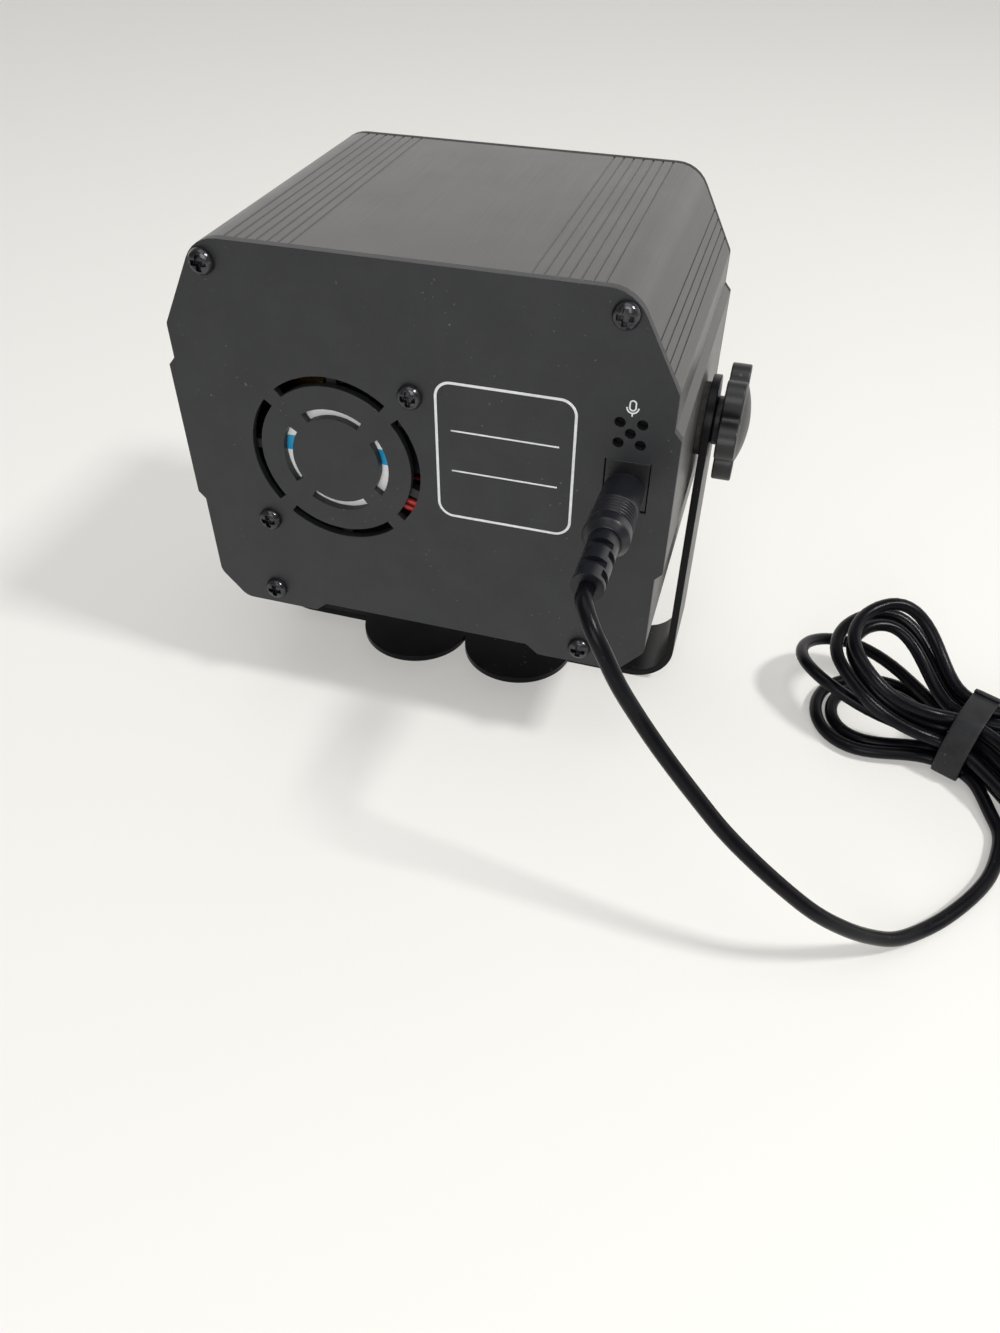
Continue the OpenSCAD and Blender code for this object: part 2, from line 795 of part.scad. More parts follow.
module control_chip() {
    y = board_y0 + 9;
    z = pivot_z + 6;
    color("#111111") block([board_x0 - chip_t, y, z], [board_x0, y + chip_w, z + chip_w]);
}

module dc_jack() {
    y = rear_y + jack_set_back;
    color("#141414") {
        difference() {
            translate([jack_x - jack_w / 2, y, jack_z - jack_h / 2]) cube([jack_w, jack_len, jack_h]);
            rod(jack_x, jack_z, y - 1, y + jack_hole_len, jack_hole_d);
        }
        rod(jack_x, jack_z, y + 1.5, y + jack_hole_len + 1, jack_pin_d);
    }
}

module mic_capsule() {
    color("#777777") rod(mic_x, mic_z, rear_in, rear_in + mic_t, mic_d);
}

// Optics behind the front plate
module optics_plate() {
    color("#9a9a9c") difference() {
        block([-plate2_w / 2, plate2_y0, pivot_z - plate2_h / 2], [plate2_w / 2, plate2_y1, pivot_z + plate2_h / 2]);
        for (side = [-1, 1]) {
            rod(-lens_x + side * laser_off, lens_z, plate2_y0 - 1, plate2_y1 + 1, laser_d + 4 * drop_in);
            for (up = [-1, 1])
                rod(side * post_x, pivot_z + up * post_z, plate2_y0 - 1, plate2_y1 + 1, screw_hole_d);
        }
        rod(-lens_x, lens_z, plate2_y0 - 1, plate2_y1 + 1, motor_d + 4 * drop_in);
        for (i = [0, 1])
            rod(led_lead_x[i], lens_z + led_lead_up[i], plate2_y0 - 1, plate2_y1 + 1, lead_d + 4 * drop_in);
    }
}

module standoffs() {
    color("#c9a04e") for (side = [-1, 1], up = [-1, 1])
        nut(side * post_x, pivot_z + up * post_z, plate2_y1, front_in, post_w, post_screw_d + 2 * seat_gap);
}

module standoff_screws() {
    color("#161616") for (side = [-1, 1], up = [-1, 1])
        screw(side * post_x, pivot_z + up * post_z, front_y, plate_t + standoff_len + plate2_t + post_nut_t, -1);
}

module plate_nuts() {
    color("silver") for (side = [-1, 1], up = [-1, 1])
        nut(side * post_x, pivot_z + up * post_z, plate2_y0 - post_nut_t, plate2_y0, post_w,
            post_screw_d + 2 * seat_gap);
}

module laser_block() {
    color("#a8a8aa") difference() {
        block([-lens_x - block_w / 2, plate2_y1, lens_z - block_h / 2],
            [-lens_x + block_w / 2, plate2_y1 + block_t, lens_z + block_h / 2]);
        for (side = [-1, 1])
            rod(-lens_x + side * laser_off, lens_z, plate2_y1 - 1, laser_y1 + 1, laser_d + 2 * seat_gap);
        rod(-lens_x, lens_z, plate2_y1 - 1, laser_y1 + 1, motor_d + 2 * seat_gap);
    }
}

module laser_modules() {
    aperture_d = laser_d / 3;
    color("#b58f3c") for (side = [-1, 1]) difference() {
        rod(-lens_x + side * laser_off, lens_z, laser_y0, laser_y1, laser_d);
        rod(-lens_x + side * laser_off, lens_z, laser_y1 - 1.5, laser_y1 + 1, aperture_d);
    }
}

module laser_leads() {
    color("#b02020") for (side = [-1, 1]) {
        x = -lens_x + side * laser_off;
        y = laser_y0 - laser_lead_back - side * laser_lead_apart / 2;
        z = lens_z - laser_lead_drop - side * laser_lead_apart;
        wire([[x, laser_y0, lens_z], [x, y, lens_z], [x, y, z], [board_x0, y, z]], lead_d);
    }
}

module grating_motor() {
    color("#8c8c90") {
        rod(-lens_x, lens_z, motor_y1 - motor_len, motor_y1, motor_d);
        rod(-lens_x, lens_z, motor_y1, motor_y1 + motor_shaft_len, motor_shaft_d);
    }
}

module grating_hub() {
    color("#2b2b2b") difference() {
        union() {
            rod(-lens_x, lens_z, grating_y - 1.5, grating_y, grating_flange_d);
            rod(-lens_x, lens_z, grating_y, grating_y + grating_t + 1.5, grating_hub_d);
        }
        rod(-lens_x, lens_z, motor_y1, motor_y1 + motor_shaft_len + 1, motor_shaft_d + 2 * run_gap);
    }
}

module grating_disc() {
    color("#cfe4ee") difference() {
        rod(-lens_x, lens_z, grating_y, grating_y + grating_t, grating_d);
        rod(-lens_x, lens_z, grating_y - 1, grating_y + grating_t + 1, grating_hub_d + 2 * seat_gap);
    }
}

module led_board() {
    color("#f0f0ec") rod(lens_x, lens_z, plate2_y1, led_y, led_board_d);
}

module led_emitters() {
    color("#f5d860") for (x = [-1, 1], z = [-1, 1])
        translate([lens_x + x * emitter_pitch / 2, led_y, lens_z + z * emitter_pitch / 2]) intersection() {
            sphere(d = emitter_d);
            translate([-emitter_d, 0, -emitter_d]) cube(2 * emitter_d);
        }
}

module collimator() {
    color("#e8eef2") translate([lens_x, led_y, lens_z]) rotate([-90, 0, 0]) rotate_extrude() polygon([
        [collimator_in_d / 2 - collimator_wall, 0], [collimator_in_d / 2, 0],
        [collimator_out_d / 2, collimator_len], [collimator_out_d / 2 - collimator_wall, collimator_len]]);
}

module heat_sink() {
    step = (sink_w - fin_t) / (fin_count - 1);
    x0 = lens_x - sink_w / 2;
    low = lens_z - sink_h / 2;
    color("#b4b6b8") {
        block([x0, plate2_y0 - sink_base, low], [x0 + sink_w, plate2_y0, low + sink_h]);
        for (i = [0 : fin_count - 1])
            block([x0 + i * step, plate2_y0 - sink_depth, low], [x0 + i * step + fin_t, plate2_y0 - sink_base, low + sink_h]);
    }
}

module led_leads() {
    y = plate2_y1 + led_board_t / 2;
    color("#b02020") for (i = [0, 1]) {
        x = led_lead_x[i];
        z = lens_z + led_lead_up[i];
        wire([[x, y, lens_z + led_board_d / 2], [x, y, z],
            [x, plate2_y0 - led_lead_back, z], [board_x0, plate2_y0 - led_lead_back, z]], lead_d);
    }
}

module lens_barrel(x) {
    translate([x, front_y, lens_z]) rotate([-90, 0, 0]) rotate_extrude($fn = 96) polygon([
        [barrel_bore / 2, -plate_t - barrel_in], [barrel_d / 2, -plate_t - barrel_in], [barrel_d / 2, 0],
        [flange_d / 2, 0], [flange_d / 2, flange_t], [barrel_d / 2 + 1, flange_t],
        [barrel_d / 2 + 1, barrel_out - 1], [barrel_d / 2, barrel_out],
        [glass_d / 2 + seat_gap, barrel_out], [glass_d / 2 + seat_gap, barrel_out - glass_set_back - glass_t],
        [barrel_bore / 2, barrel_out - glass_set_back - glass_t]]);
}

module lens_barrel_left() {
    color("#1d1d1f") lens_barrel(-lens_x);
}

module lens_barrel_right() {
    color("#1d1d1f") lens_barrel(lens_x);
}

module barrel_nuts() {
    color("#2c2c2e") for (side = [-1, 1]) difference() {
        rod(side * lens_x, lens_z, front_in - ring_nut_t, front_in, ring_nut_d);
        rod(side * lens_x, lens_z, front_in - ring_nut_t - 1, front_in + 1, barrel_d + 2 * seat_gap);
    }
}

module laser_window() {
    y1 = front_y + barrel_out - glass_set_back;
    color("#d9e6ec") rod(-lens_x, lens_z, y1 - glass_t, y1, glass_d);
}

module projection_lens() {
    y0 = front_y + barrel_out - glass_set_back - glass_t;
    sphere_r = (glass_d * glass_d / 4 + lens_rise * lens_rise) / (2 * lens_rise);
    color("#e3ecf2") {
        rod(lens_x, lens_z, y0, y0 + glass_t, glass_d);
        translate([lens_x, y0 + glass_t, lens_z]) intersection() {
            translate([0, lens_rise - sphere_r, 0]) sphere(r = sphere_r, $fn = 96);
            translate([-glass_d, 0, -glass_d]) cube(2 * glass_d);
        }
    }
}

module ir_receiver() {
    color("#201818") {
        block([-ir_w / 2, front_in - ir_t, pivot_z + ir_up - ir_h / 2], [ir_w / 2, front_in, pivot_z + ir_up + ir_h / 2]);
        rod(0, pivot_z + ir_up, front_in, front_y, ir_dome_d);
        translate([0, front_y, pivot_z + ir_up]) intersection() {
            sphere(d = ir_dome_d);
            translate([-ir_dome_d, 0, -ir_dome_d]) cube(2 * ir_dome_d);
        }
    }
}

// Power plug
module dc_plug_barrel() {
    color("silver") difference() {
        rod(jack_x, jack_z, plug_y, barrel_tip, plug_barrel_d);
        rod(jack_x, jack_z, plug_y - 1, barrel_tip + 1, plug_barrel_bore);
    }
}

module dc_plug_grip() {
    r = grip_d / 2;
    wide = grip_wide_d / 2;
    q = grip_ring_pitch / 4;
    function at(h, sunk) = [r + (wide - r) * h / grip_straight - sunk, h];
    color("#1b1b1c") translate([jack_x, plug_y, jack_z]) rotate([90, 0, 0]) rotate_extrude() polygon(concat(
        [[0, 0], [r - grip_bevel, 0], at(grip_bevel, 0)],
        [for (i = [0 : grip_rings - 1]) let (h = grip_ring_at + i * grip_ring_pitch)
            each [at(h, 0), at(h + q, grip_ring_d), at(h + 2 * q, grip_ring_d), at(h + 3 * q, 0)]],
        [at(grip_straight, 0), [relief_d / 2 + grip_bevel / 2, grip_len], [0, grip_len]]));
}

module dc_strain_relief() {
    y1 = plug_y - grip_len;
    color("#1b1b1c") difference() {
        rod(jack_x, jack_z, plug_end_y, y1, relief_d);
        for (i = [0, 1], turn = [0, 1]) translate([jack_x,
            y1 - relief_lead - i * relief_pitch - turn * (relief_slot + relief_web), jack_z])
            rotate([0, 90 * (1 - turn), 0]) for (side = [-1, 1])
                translate([side * (relief_core + relief_d) / 2, -relief_slot / 2, 0])
                    cube([relief_d, relief_slot, 2 * relief_d], center = true);
    }
}

// Lead
function ease(t) = let (c = max(0, min(1, t))) c * c * (3 - 2 * c);

// Lane of the hank at s turns, counted inwards from the outermost
function lane(s) = layer_turns - abs(s % (2 * layer_turns) - layer_turns);

// Layer at s turns; each climb lies along a run
function layer(s) = ease((s - layer_turns + climb) / (2 * climb))
    + ease((s - 2 * layer_turns + climb) / (2 * climb)) + ease((s - 3 * layer_turns + climb) / (2 * climb));

// Whether s turns lie at the seen end, and the layer of the loop there
function is_seen(s) = s - floor(s) < 0.5;
function seen_layer(s) = floor((floor(s) + 0.25) / layer_turns);

// Length of a run from the waist to its fold
function run_at(s) = half_run + (is_seen(s) ? layer_reach[seen_layer(s)] : 0);

// Half width of a loop at u along the hank: drawn in at the waist, round at the folds
function half_width(u, out, run = half_run) = waist_in + out
    + (fold_r - waist_in) * (1 - cos(180 * min(1, abs(u) / run))) / 2;

// Flat place [along, across] of the loop at s turns
function loop_at(s) = let (
        a = 360 * (s - floor(s)), out = lane_step * (layer_turns - lane(s)), r = fold_r + out, run = run_at(s))
    a <= 45 ? let (u = run * a / 45) [u, -half_width(u, out, run)] :
    a <= 135 ? let (f = 2 * (a - 45)) [run + r * sin(f), -r * cos(f)] :
    a <= 225 ? let (u = run * (180 - a) / 45) [u, half_width(u, out, run)] :
    a <= 315 ? let (f = 2 * (a - 225)) [-run - r * sin(f), r * cos(f)] :
    let (u = run * (a - 360) / 45) [u, -half_width(u, out, run)];

// Place [along, across, up] turned and moved to the hank's place on the table
function on_table(u, v, z) = [
    hank_at[0] + u * cos(hank_turn) + v * sin(hank_turn),
    hank_at[1] + u * sin(hank_turn) - v * cos(hank_turn), z];

// Point of the hank at s turns; the layers fan out and sway apart away from the tie
function hank_point(s) = let (
        p = loop_at(s), n = layer(s), seen = is_seen(s), k = seen_layer(s),
        f = ease((abs(p[0]) - calm_run) / (run_at(s) + fold_r - calm_run)),
        aside = seen ? layer_sway[k] : sway * sin(150 * n),
        rise = seen ? layer_rise[k] + layer_tilt[k] * p[1] : fan_unseen * n * layer_step)
    on_table(p[0], p[1] + f * aside, end_z + waist_lift * (1 - f) + n * layer_step + f * rise);

hank_in = hank_point(0);
hank_out = hank_point(hank_turns);
lead_run = 2.4 * cord_d;
lead_gap = 0.3;
hank_lead = on_table(-lead_run, -half_width(lead_run, lane_step * layer_turns) - lead_gap, end_z + waist_lift);
along = [cos(hank_turn), sin(hank_turn), 0];
plug_end = [jack_x, plug_end_y, jack_z];

module cord_free() {
    path = curve(concat([plug_end, plug_end - [0, cord_d, 0]], free_points,
        [hank_lead, hank_in - cord_d * along, hank_in]), 2);
    color("#151515") tube(path, cord_d, tube_sides);
}

module cord_hank() {
    path = [for (i = [0 : hank_turns * loop_rings]) hank_point(i / loop_rings)];
    start = [hank_in, hank_in + cord_d * along];
    finish = [hank_out + cord_d * along, hank_out];
    fine = [for (i = [0 : hank_turns * check_steps]) hank_point(i / check_steps)];
    count = len(fine) - 1;
    gap = min([for (i = [0 : count - check_steps / 3], j = [i + check_steps / 3 : count]) norm(fine[i] - fine[j])]);
    echo("least gap of the hank to itself", gap - cord_d);
    color("#151515") tube(concat(start, [for (i = [1 : len(path) - 2]) path[i]], finish), cord_d, hank_sides);
}

module cord_tail() {
    end = [usb_at[0], usb_at[1], usb_z];
    path = curve(concat([hank_out, hank_out - cord_d * along], tail_points, [end - [0, cord_d, 0], end]), 2);
    color("#151515") tube(path, cord_d, tube_sides);
}

module hank_tie() {
    half = cord_d / 2 + tie_gap + tie_widen;
    near = waist_in + lane_step * layer_turns + half;
    far = waist_in + lane_step * (layer_turns - lane(hank_turns)) + half;
    low = end_z + waist_lift - cord_d / 2 - tie_gap;
    high = low + 3 * layer_step + cord_d + 2 * tie_gap;
    color("#3c4046") translate([hank_at[0], hank_at[1], 0]) rotate(hank_turn) translate([-tie_w / 2, 0, 0])
        rotate([90, 0, 90]) linear_extrude(tie_w) difference() {
            polygon(rounded(box_points(-far - tie_t, near + tie_t, low - tie_t, high + tie_t, tie_round)));
            polygon(rounded(box_points(-far, near, low, high, tie_round - tie_t)));
        }
}

// Far plug, lying on the table
module usb_bar(w, h, y0, y1, r) {
    translate([usb_at[0], usb_at[1] + y1, usb_z]) rotate([90, 0, 0]) linear_extrude(y1 - y0)
        polygon(rounded(box_points(-w / 2, w / 2, -h / 2, h / 2, r)));
}

module usb_grip() {
    color("#19191a") {
        translate([usb_at[0], usb_at[1] + usb_neck_len, usb_z]) rotate([90, 0, 0])
            cylinder(d = usb_neck_d, h = usb_neck_len);
        usb_bar(usb_grip_w, usb_grip_h, usb_neck_len, usb_neck_len + usb_grip_len, usb_grip_round);
    }
}

module usb_shell() {
    y0 = usb_neck_len + usb_grip_len;
    color("silver") difference() {
        usb_bar(usb_shell_w, usb_shell_h, y0, y0 + usb_shell_len, 0);
        usb_bar(usb_shell_w - 2 * usb_shell_t, usb_shell_h - 2 * usb_shell_t, y0 - 1, y0 + usb_shell_len + 1, 0);
    }
}

module usb_tongue() {
    y0 = usb_neck_len + usb_grip_len;
    up = usb_shell_h / 2 - usb_shell_t - usb_tongue_t / 2 - side_play;
    color("#e8e8e4") translate([0, 0, up])
        usb_bar(usb_shell_w - 2 * usb_shell_t - 2 * side_play, usb_tongue_t, y0, y0 + usb_shell_len - 0.6, 0);
}

bracket();
body_shell();
rear_plate();
front_plate();
rear_plate_screws();
front_plate_screws();
pivot_inserts();
friction_washers();
knob_left();
knob_right();
knob_stud_left();
knob_stud_right();
fan_frame();
fan_rotor();
fan_sticker();
fan_screws();
fan_nuts();
fan_leads();
driver_board();
board_capacitors();
control_chip();
dc_jack();
mic_capsule();
optics_plate();
standoffs();
standoff_screws();
plate_nuts();
laser_block();
laser_modules();
laser_leads();
grating_motor();
grating_hub();
grating_disc();
led_board();
led_emitters();
collimator();
heat_sink();
led_leads();
lens_barrel_left();
lens_barrel_right();
barrel_nuts();
laser_window();
projection_lens();
ir_receiver();
dc_plug_barrel();
dc_plug_grip();
dc_strain_relief();
cord_free();
cord_hank();
cord_tail();
hank_tie();
usb_grip();
usb_shell();
usb_tongue();
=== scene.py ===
import json
import logging
import math
from dataclasses import dataclass
from enum import Enum
from typing import Any, Optional, Sequence, Union

import bmesh
import bpy
import numpy as np
from mathutils import Matrix, Vector


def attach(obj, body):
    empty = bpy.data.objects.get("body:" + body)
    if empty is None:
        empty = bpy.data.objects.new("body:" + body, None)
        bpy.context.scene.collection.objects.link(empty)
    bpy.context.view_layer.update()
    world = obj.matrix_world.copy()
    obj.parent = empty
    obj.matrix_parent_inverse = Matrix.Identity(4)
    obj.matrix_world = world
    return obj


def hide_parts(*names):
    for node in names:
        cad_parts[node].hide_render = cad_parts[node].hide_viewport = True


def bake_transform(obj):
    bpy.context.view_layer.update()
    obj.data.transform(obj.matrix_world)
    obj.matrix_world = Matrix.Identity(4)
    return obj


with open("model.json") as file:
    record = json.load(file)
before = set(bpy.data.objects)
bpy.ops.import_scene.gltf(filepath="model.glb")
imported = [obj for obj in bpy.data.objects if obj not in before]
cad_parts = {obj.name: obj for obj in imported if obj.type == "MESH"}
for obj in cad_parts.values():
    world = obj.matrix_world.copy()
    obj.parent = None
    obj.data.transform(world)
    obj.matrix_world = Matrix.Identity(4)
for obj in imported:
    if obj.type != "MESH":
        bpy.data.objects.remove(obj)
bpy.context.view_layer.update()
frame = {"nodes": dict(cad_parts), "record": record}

logging.basicConfig(level=logging.INFO, format="%(name)s: %(message)s")
log = logging.getLogger("disco_light")

MM = 0.001
NODES: dict[str, bpy.types.Object] = frame["nodes"]
BODY_OF: dict[str, str] = {
    node: body
    for body, members in frame["record"]["behaviour"]["bodies"].items()
    for node in members
}
Colour = tuple[float, float, float]
Place = tuple[float, float, float]
Span = tuple[float, float]


class Body(str, Enum):
    """The moving bodies that pieces ride on."""

    STAND = "stand"
    HEAD = "head"


class Value:
    """A number socket of a material; arithmetic on it adds Math nodes."""

    def __init__(self, graph: "Graph", socket: bpy.types.NodeSocket) -> None:
        """Keeps the socket and the graph that it belongs to."""
        self.graph = graph
        self.socket = socket

    def _math(self, operation: str, *terms: Union["Value", float]) -> "Value":
        """Adds one Math node.

        Args:
            operation: the Math node's word for the operation.
            terms: the values that go in, in order.

        Returns:
            The node's result.
        """
        node = self.graph.add("ShaderNodeMath", {"operation": operation}, dict(enumerate(terms)))
        return Value(self.graph, node.outputs[0])

    def __add__(self, other: Union["Value", float]) -> "Value":
        """Sum."""
        return self._math("ADD", self, other)

    __radd__ = __add__

    def __sub__(self, other: Union["Value", float]) -> "Value":
        """Difference."""
        return self._math("SUBTRACT", self, other)

    def __rsub__(self, other: float) -> "Value":
        """Difference from a plain number."""
        return self._math("SUBTRACT", other, self)

    def __mul__(self, other: Union["Value", float]) -> "Value":
        """Product."""
        return self._math("MULTIPLY", self, other)

    __rmul__ = __mul__

    def __truediv__(self, other: Union["Value", float]) -> "Value":
        """Quotient."""
        return self._math("DIVIDE", self, other)

    def __rtruediv__(self, other: float) -> "Value":
        """Quotient of a plain number."""
        return self._math("DIVIDE", other, self)

    def __abs__(self) -> "Value":
        """Size without its sign."""
        return self._math("ABSOLUTE", self)

    def most(self, other: Union["Value", float]) -> "Value":
        """The larger of the two."""
        return self._math("MAXIMUM", self, other)

    def wave(self) -> "Value":
        """Sine of the value in radians."""
        return self._math("SINE", self)

    def step(self, low: float, high: float) -> "Value":
        """Smooth step from 0 to 1.

        Args:
            low: value up to which the step is 0.
            high: value from which it is 1.

        Returns:
            The step.
        """
        node = self.graph.add(
            "ShaderNodeMapRange",
            {"interpolation_type": "SMOOTHSTEP"},
            {"Value": self, "From Min": low, "From Max": high},
        )
        return Value(self.graph, node.outputs[0])


NOISE_ROUGHNESS = 0.55
# Sockets of the Mix node that take and give colours
MIX_FIRST, MIX_SECOND, MIX_RESULT = 6, 7, 2


class Graph:
    """The node tree of a material or of the room, ending in one shader."""

    def __init__(self, owner: Union[bpy.types.Material, bpy.types.World], shader: str, output: str) -> None:
        """Clears the owner's tree and joins its shader to its output."""
        owner.use_nodes = True
        self.tree = owner.node_tree
        self.tree.nodes.clear()
        self.shader = self.tree.nodes.new(shader)
        self.output = self.tree.nodes.new(output)
        self.feed(self.output.inputs[0], self.shader.outputs[0])
        self._place: Optional[bpy.types.NodeSocket] = None

    @classmethod
    def on_material(cls, material: bpy.types.Material) -> "Graph":
        """Graph of a material, with one Principled shader."""
        return cls(material, "ShaderNodeBsdfPrincipled", "ShaderNodeOutputMaterial")

    def add(
        self,
        kind: str,
        settings: Optional[dict[str, Any]] = None,
        inputs: Optional[dict[Union[str, int], Any]] = None,
    ) -> bpy.types.Node:
        """Adds any node.

        Args:
            kind: the node's type.
            settings: its own settings, set first.
            inputs: values or links of its sockets, by name or number.

        Returns:
            The new node.
        """
        node = self.tree.nodes.new(kind)
        for key, value in (settings or {}).items():
            setattr(node, key, value)
        for key, value in (inputs or {}).items():
            self.feed(node.inputs[key], value)
        return node

    def feed(self, socket: bpy.types.NodeSocket, value: Any) -> None:
        """Links a value to a socket, or sets the socket where it is a plain number or colour.

        Args:
            socket: the socket that is fed.
            value: a value, another socket, or a plain number or colour.
        """
        if isinstance(value, Value):
            self.tree.links.new(value.socket, socket)
        elif isinstance(value, bpy.types.NodeSocket):
            self.tree.links.new(value, socket)
        else:
            socket.default_value = value

    def set(self, **values: Any) -> None:
        """Feeds the shader's sockets; an underscore in a name stands for a space."""
        for key, value in values.items():
            self.feed(self.shader.inputs[key.replace("_", " ")], value)

    @property
    def place(self) -> bpy.types.NodeSocket:
        """Object coordinates, which are the part's own frame in metres.

        Returns:
            The socket, which is made once.
        """
        if self._place is None:
            self._place = self.add("ShaderNodeTexCoord").outputs["Object"]
        return self._place

    def axes(self, vector: Optional[bpy.types.NodeSocket] = None) -> tuple[Value, Value, Value]:
        """The three parts of a vector, or of the place on the part, as numbers."""
        node = self.add("ShaderNodeSeparateXYZ", None, {0: vector or self.place})
        return tuple(Value(self, out) for out in node.outputs)

    def noise(self, scale: float, detail: float = 2.0, stretch: Colour = (1, 1, 1)) -> Value:
        """Soft noise between 0 and 1.

        Args:
            scale: waves per metre.
            detail: number of finer octaves.
            stretch: factor along each axis, small along a streak.

        Returns:
            The noise.
        """
        mapped = self.add("ShaderNodeMapping", None, {"Vector": self.place, "Scale": stretch})
        node = self.add(
            "ShaderNodeTexNoise", None,
            {"Vector": mapped.outputs[0], "Scale": scale, "Detail": detail, "Roughness": NOISE_ROUGHNESS},
        )
        return Value(self, node.outputs[0])

    def blend(self, share: Union[Value, float], first: Any, second: Any) -> bpy.types.NodeSocket:
        """Mixes two colours.

        Args:
            share: how much of the second shows.
            first: a colour, or a socket that gives one.
            second: likewise.

        Returns:
            The mixed colour.
        """
        node = self.add("ShaderNodeMix", {"data_type": "RGBA"}, {0: share})
        for index, colour in ((MIX_FIRST, first), (MIX_SECOND, second)):
            self.feed(node.inputs[index], (*colour, 1.0) if isinstance(colour, tuple) else colour)
        return node.outputs[MIX_RESULT]

    def bump(self, height: Value, depth: float, strength: float = 1.0) -> None:
        """Feeds the shader's Normal from a height.

        Args:
            height: the relief, from 0 to 1.
            depth: how deep the relief is, in metres.
            strength: share of the relief that shows.
        """
        node = self.add(
            "ShaderNodeBump", None, {"Strength": strength, "Distance": depth, "Height": height}
        )
        self.set(Normal=node.outputs[0])


NOISE_MIDDLE = 0.5
BROAD_DETAIL = 3.0
FINE_DETAIL = 2.0
SPECK_DETAIL = 1.0
FINE_ROUGH_SHARE = 0.5
MOTTLE_EDGES: Span = (0.3, 0.7)
STREAK_EDGES: Span = (0.35, 0.75)
STREAK_SHARE = 0.5
DUST_COLOUR: Colour = (0.55, 0.55, 0.53)
DUST_ROUGHNESS = 0.25
SPECK_EDGES: Span = (0.7, 0.78)
PATCH_EDGES: Span = (0.45, 0.7)
PATCH_SCALE = 60.0


@dataclass(frozen=True)
class Finish:
    """A surface finish: a colour that wanders a little, fine grain, streaks and dust."""

    name: str
    slot: str
    colour: Colour
    roughness: float
    metallic: float = 0.0
    mottle: float = 0.25
    mottle_scale: float = 90.0
    rough_vary: float = 0.12
    grain_scale: float = 2600.0
    grain_depth: float = 0.02 * MM
    streak: Optional[Colour] = None
    streak_depth: float = 0.0
    dust: float = 0.0
    dust_scale: float = 900.0
    coat: float = 0.0
    specular: float = 0.5

    def paint(self, graph: Graph, base: bpy.types.NodeSocket) -> bpy.types.NodeSocket:
        """Colour over the base colour; a plain finish adds nothing."""
        return base

    def build(self) -> bpy.types.Material:
        """Makes the material.

        Returns:
            The material, with colour, roughness and relief from its nodes.
        """
        material = bpy.data.materials.new(self.name)
        graph = Graph.on_material(material)
        broad = graph.noise(self.mottle_scale, BROAD_DETAIL)
        fine = graph.noise(self.grain_scale, FINE_DETAIL)
        dark = tuple(c * (1 - self.mottle) for c in self.colour)
        pale = tuple(min(1.0, c * (1 + self.mottle)) for c in self.colour)
        base = graph.blend(broad.step(*MOTTLE_EDGES), dark, pale)
        rough = self.roughness + self.rough_vary * (broad - NOISE_MIDDLE)
        rough = rough + FINE_ROUGH_SHARE * self.rough_vary * (fine - NOISE_MIDDLE)
        height = fine
        if self.streak is not None:
            lines = graph.noise(1.0, BROAD_DETAIL, self.streak)
            base = graph.blend(lines.step(*STREAK_EDGES) * STREAK_SHARE, base, pale)
            rough = rough + self.rough_vary * (lines - NOISE_MIDDLE)
            height = fine + (self.streak_depth / max(self.grain_depth, 1e-9)) * lines
        if self.dust:
            grains = graph.noise(self.dust_scale, SPECK_DETAIL).step(*SPECK_EDGES)
            specks = grains * graph.noise(PATCH_SCALE, FINE_DETAIL).step(*PATCH_EDGES)
            base = graph.blend(specks * self.dust, base, DUST_COLOUR)
            rough = rough + DUST_ROUGHNESS * specks
        graph.set(
            Base_Color=self.paint(graph, base), Roughness=rough, Metallic=self.metallic,
            Coat_Weight=self.coat, Specular_IOR_Level=self.specular,
        )
        graph.bump(height, self.grain_depth)
        return material


@dataclass(frozen=True)
class StickerPrint(Finish):
    """Film on the fan's hub: white with one plain blue band across it."""

    band_z: float = 81.4 * MM
    band_half: float = 1.95 * MM
    band_edge: float = 0.1 * MM
    ink: Colour = (0.02, 0.34, 0.62)

    def paint(self, graph: Graph, base: bpy.types.NodeSocket) -> bpy.types.NodeSocket:
        """Blue where the height is within half the band's width of its middle."""
        _, _, z = graph.axes()
        mask = 1 - abs(z - self.band_z).step(self.band_half, self.band_half + self.band_edge)
        return graph.blend(mask, base, self.ink)


@dataclass(frozen=True)
class FeltFace(Finish):
    """Metal can whose face behind the rear plate is covered with black felt."""

    face_y: float = -42.5 * MM
    felt_edge: Span = (0.1 * MM, 0.2 * MM)
    felt: Colour = (0.006, 0.006, 0.006)

    def paint(self, graph: Graph, base: bpy.types.NodeSocket) -> bpy.types.NodeSocket:
        """Black where y is at the face."""
        _, y, _ = graph.axes()
        return graph.blend(1 - (y - self.face_y).step(*self.felt_edge), base, self.felt)


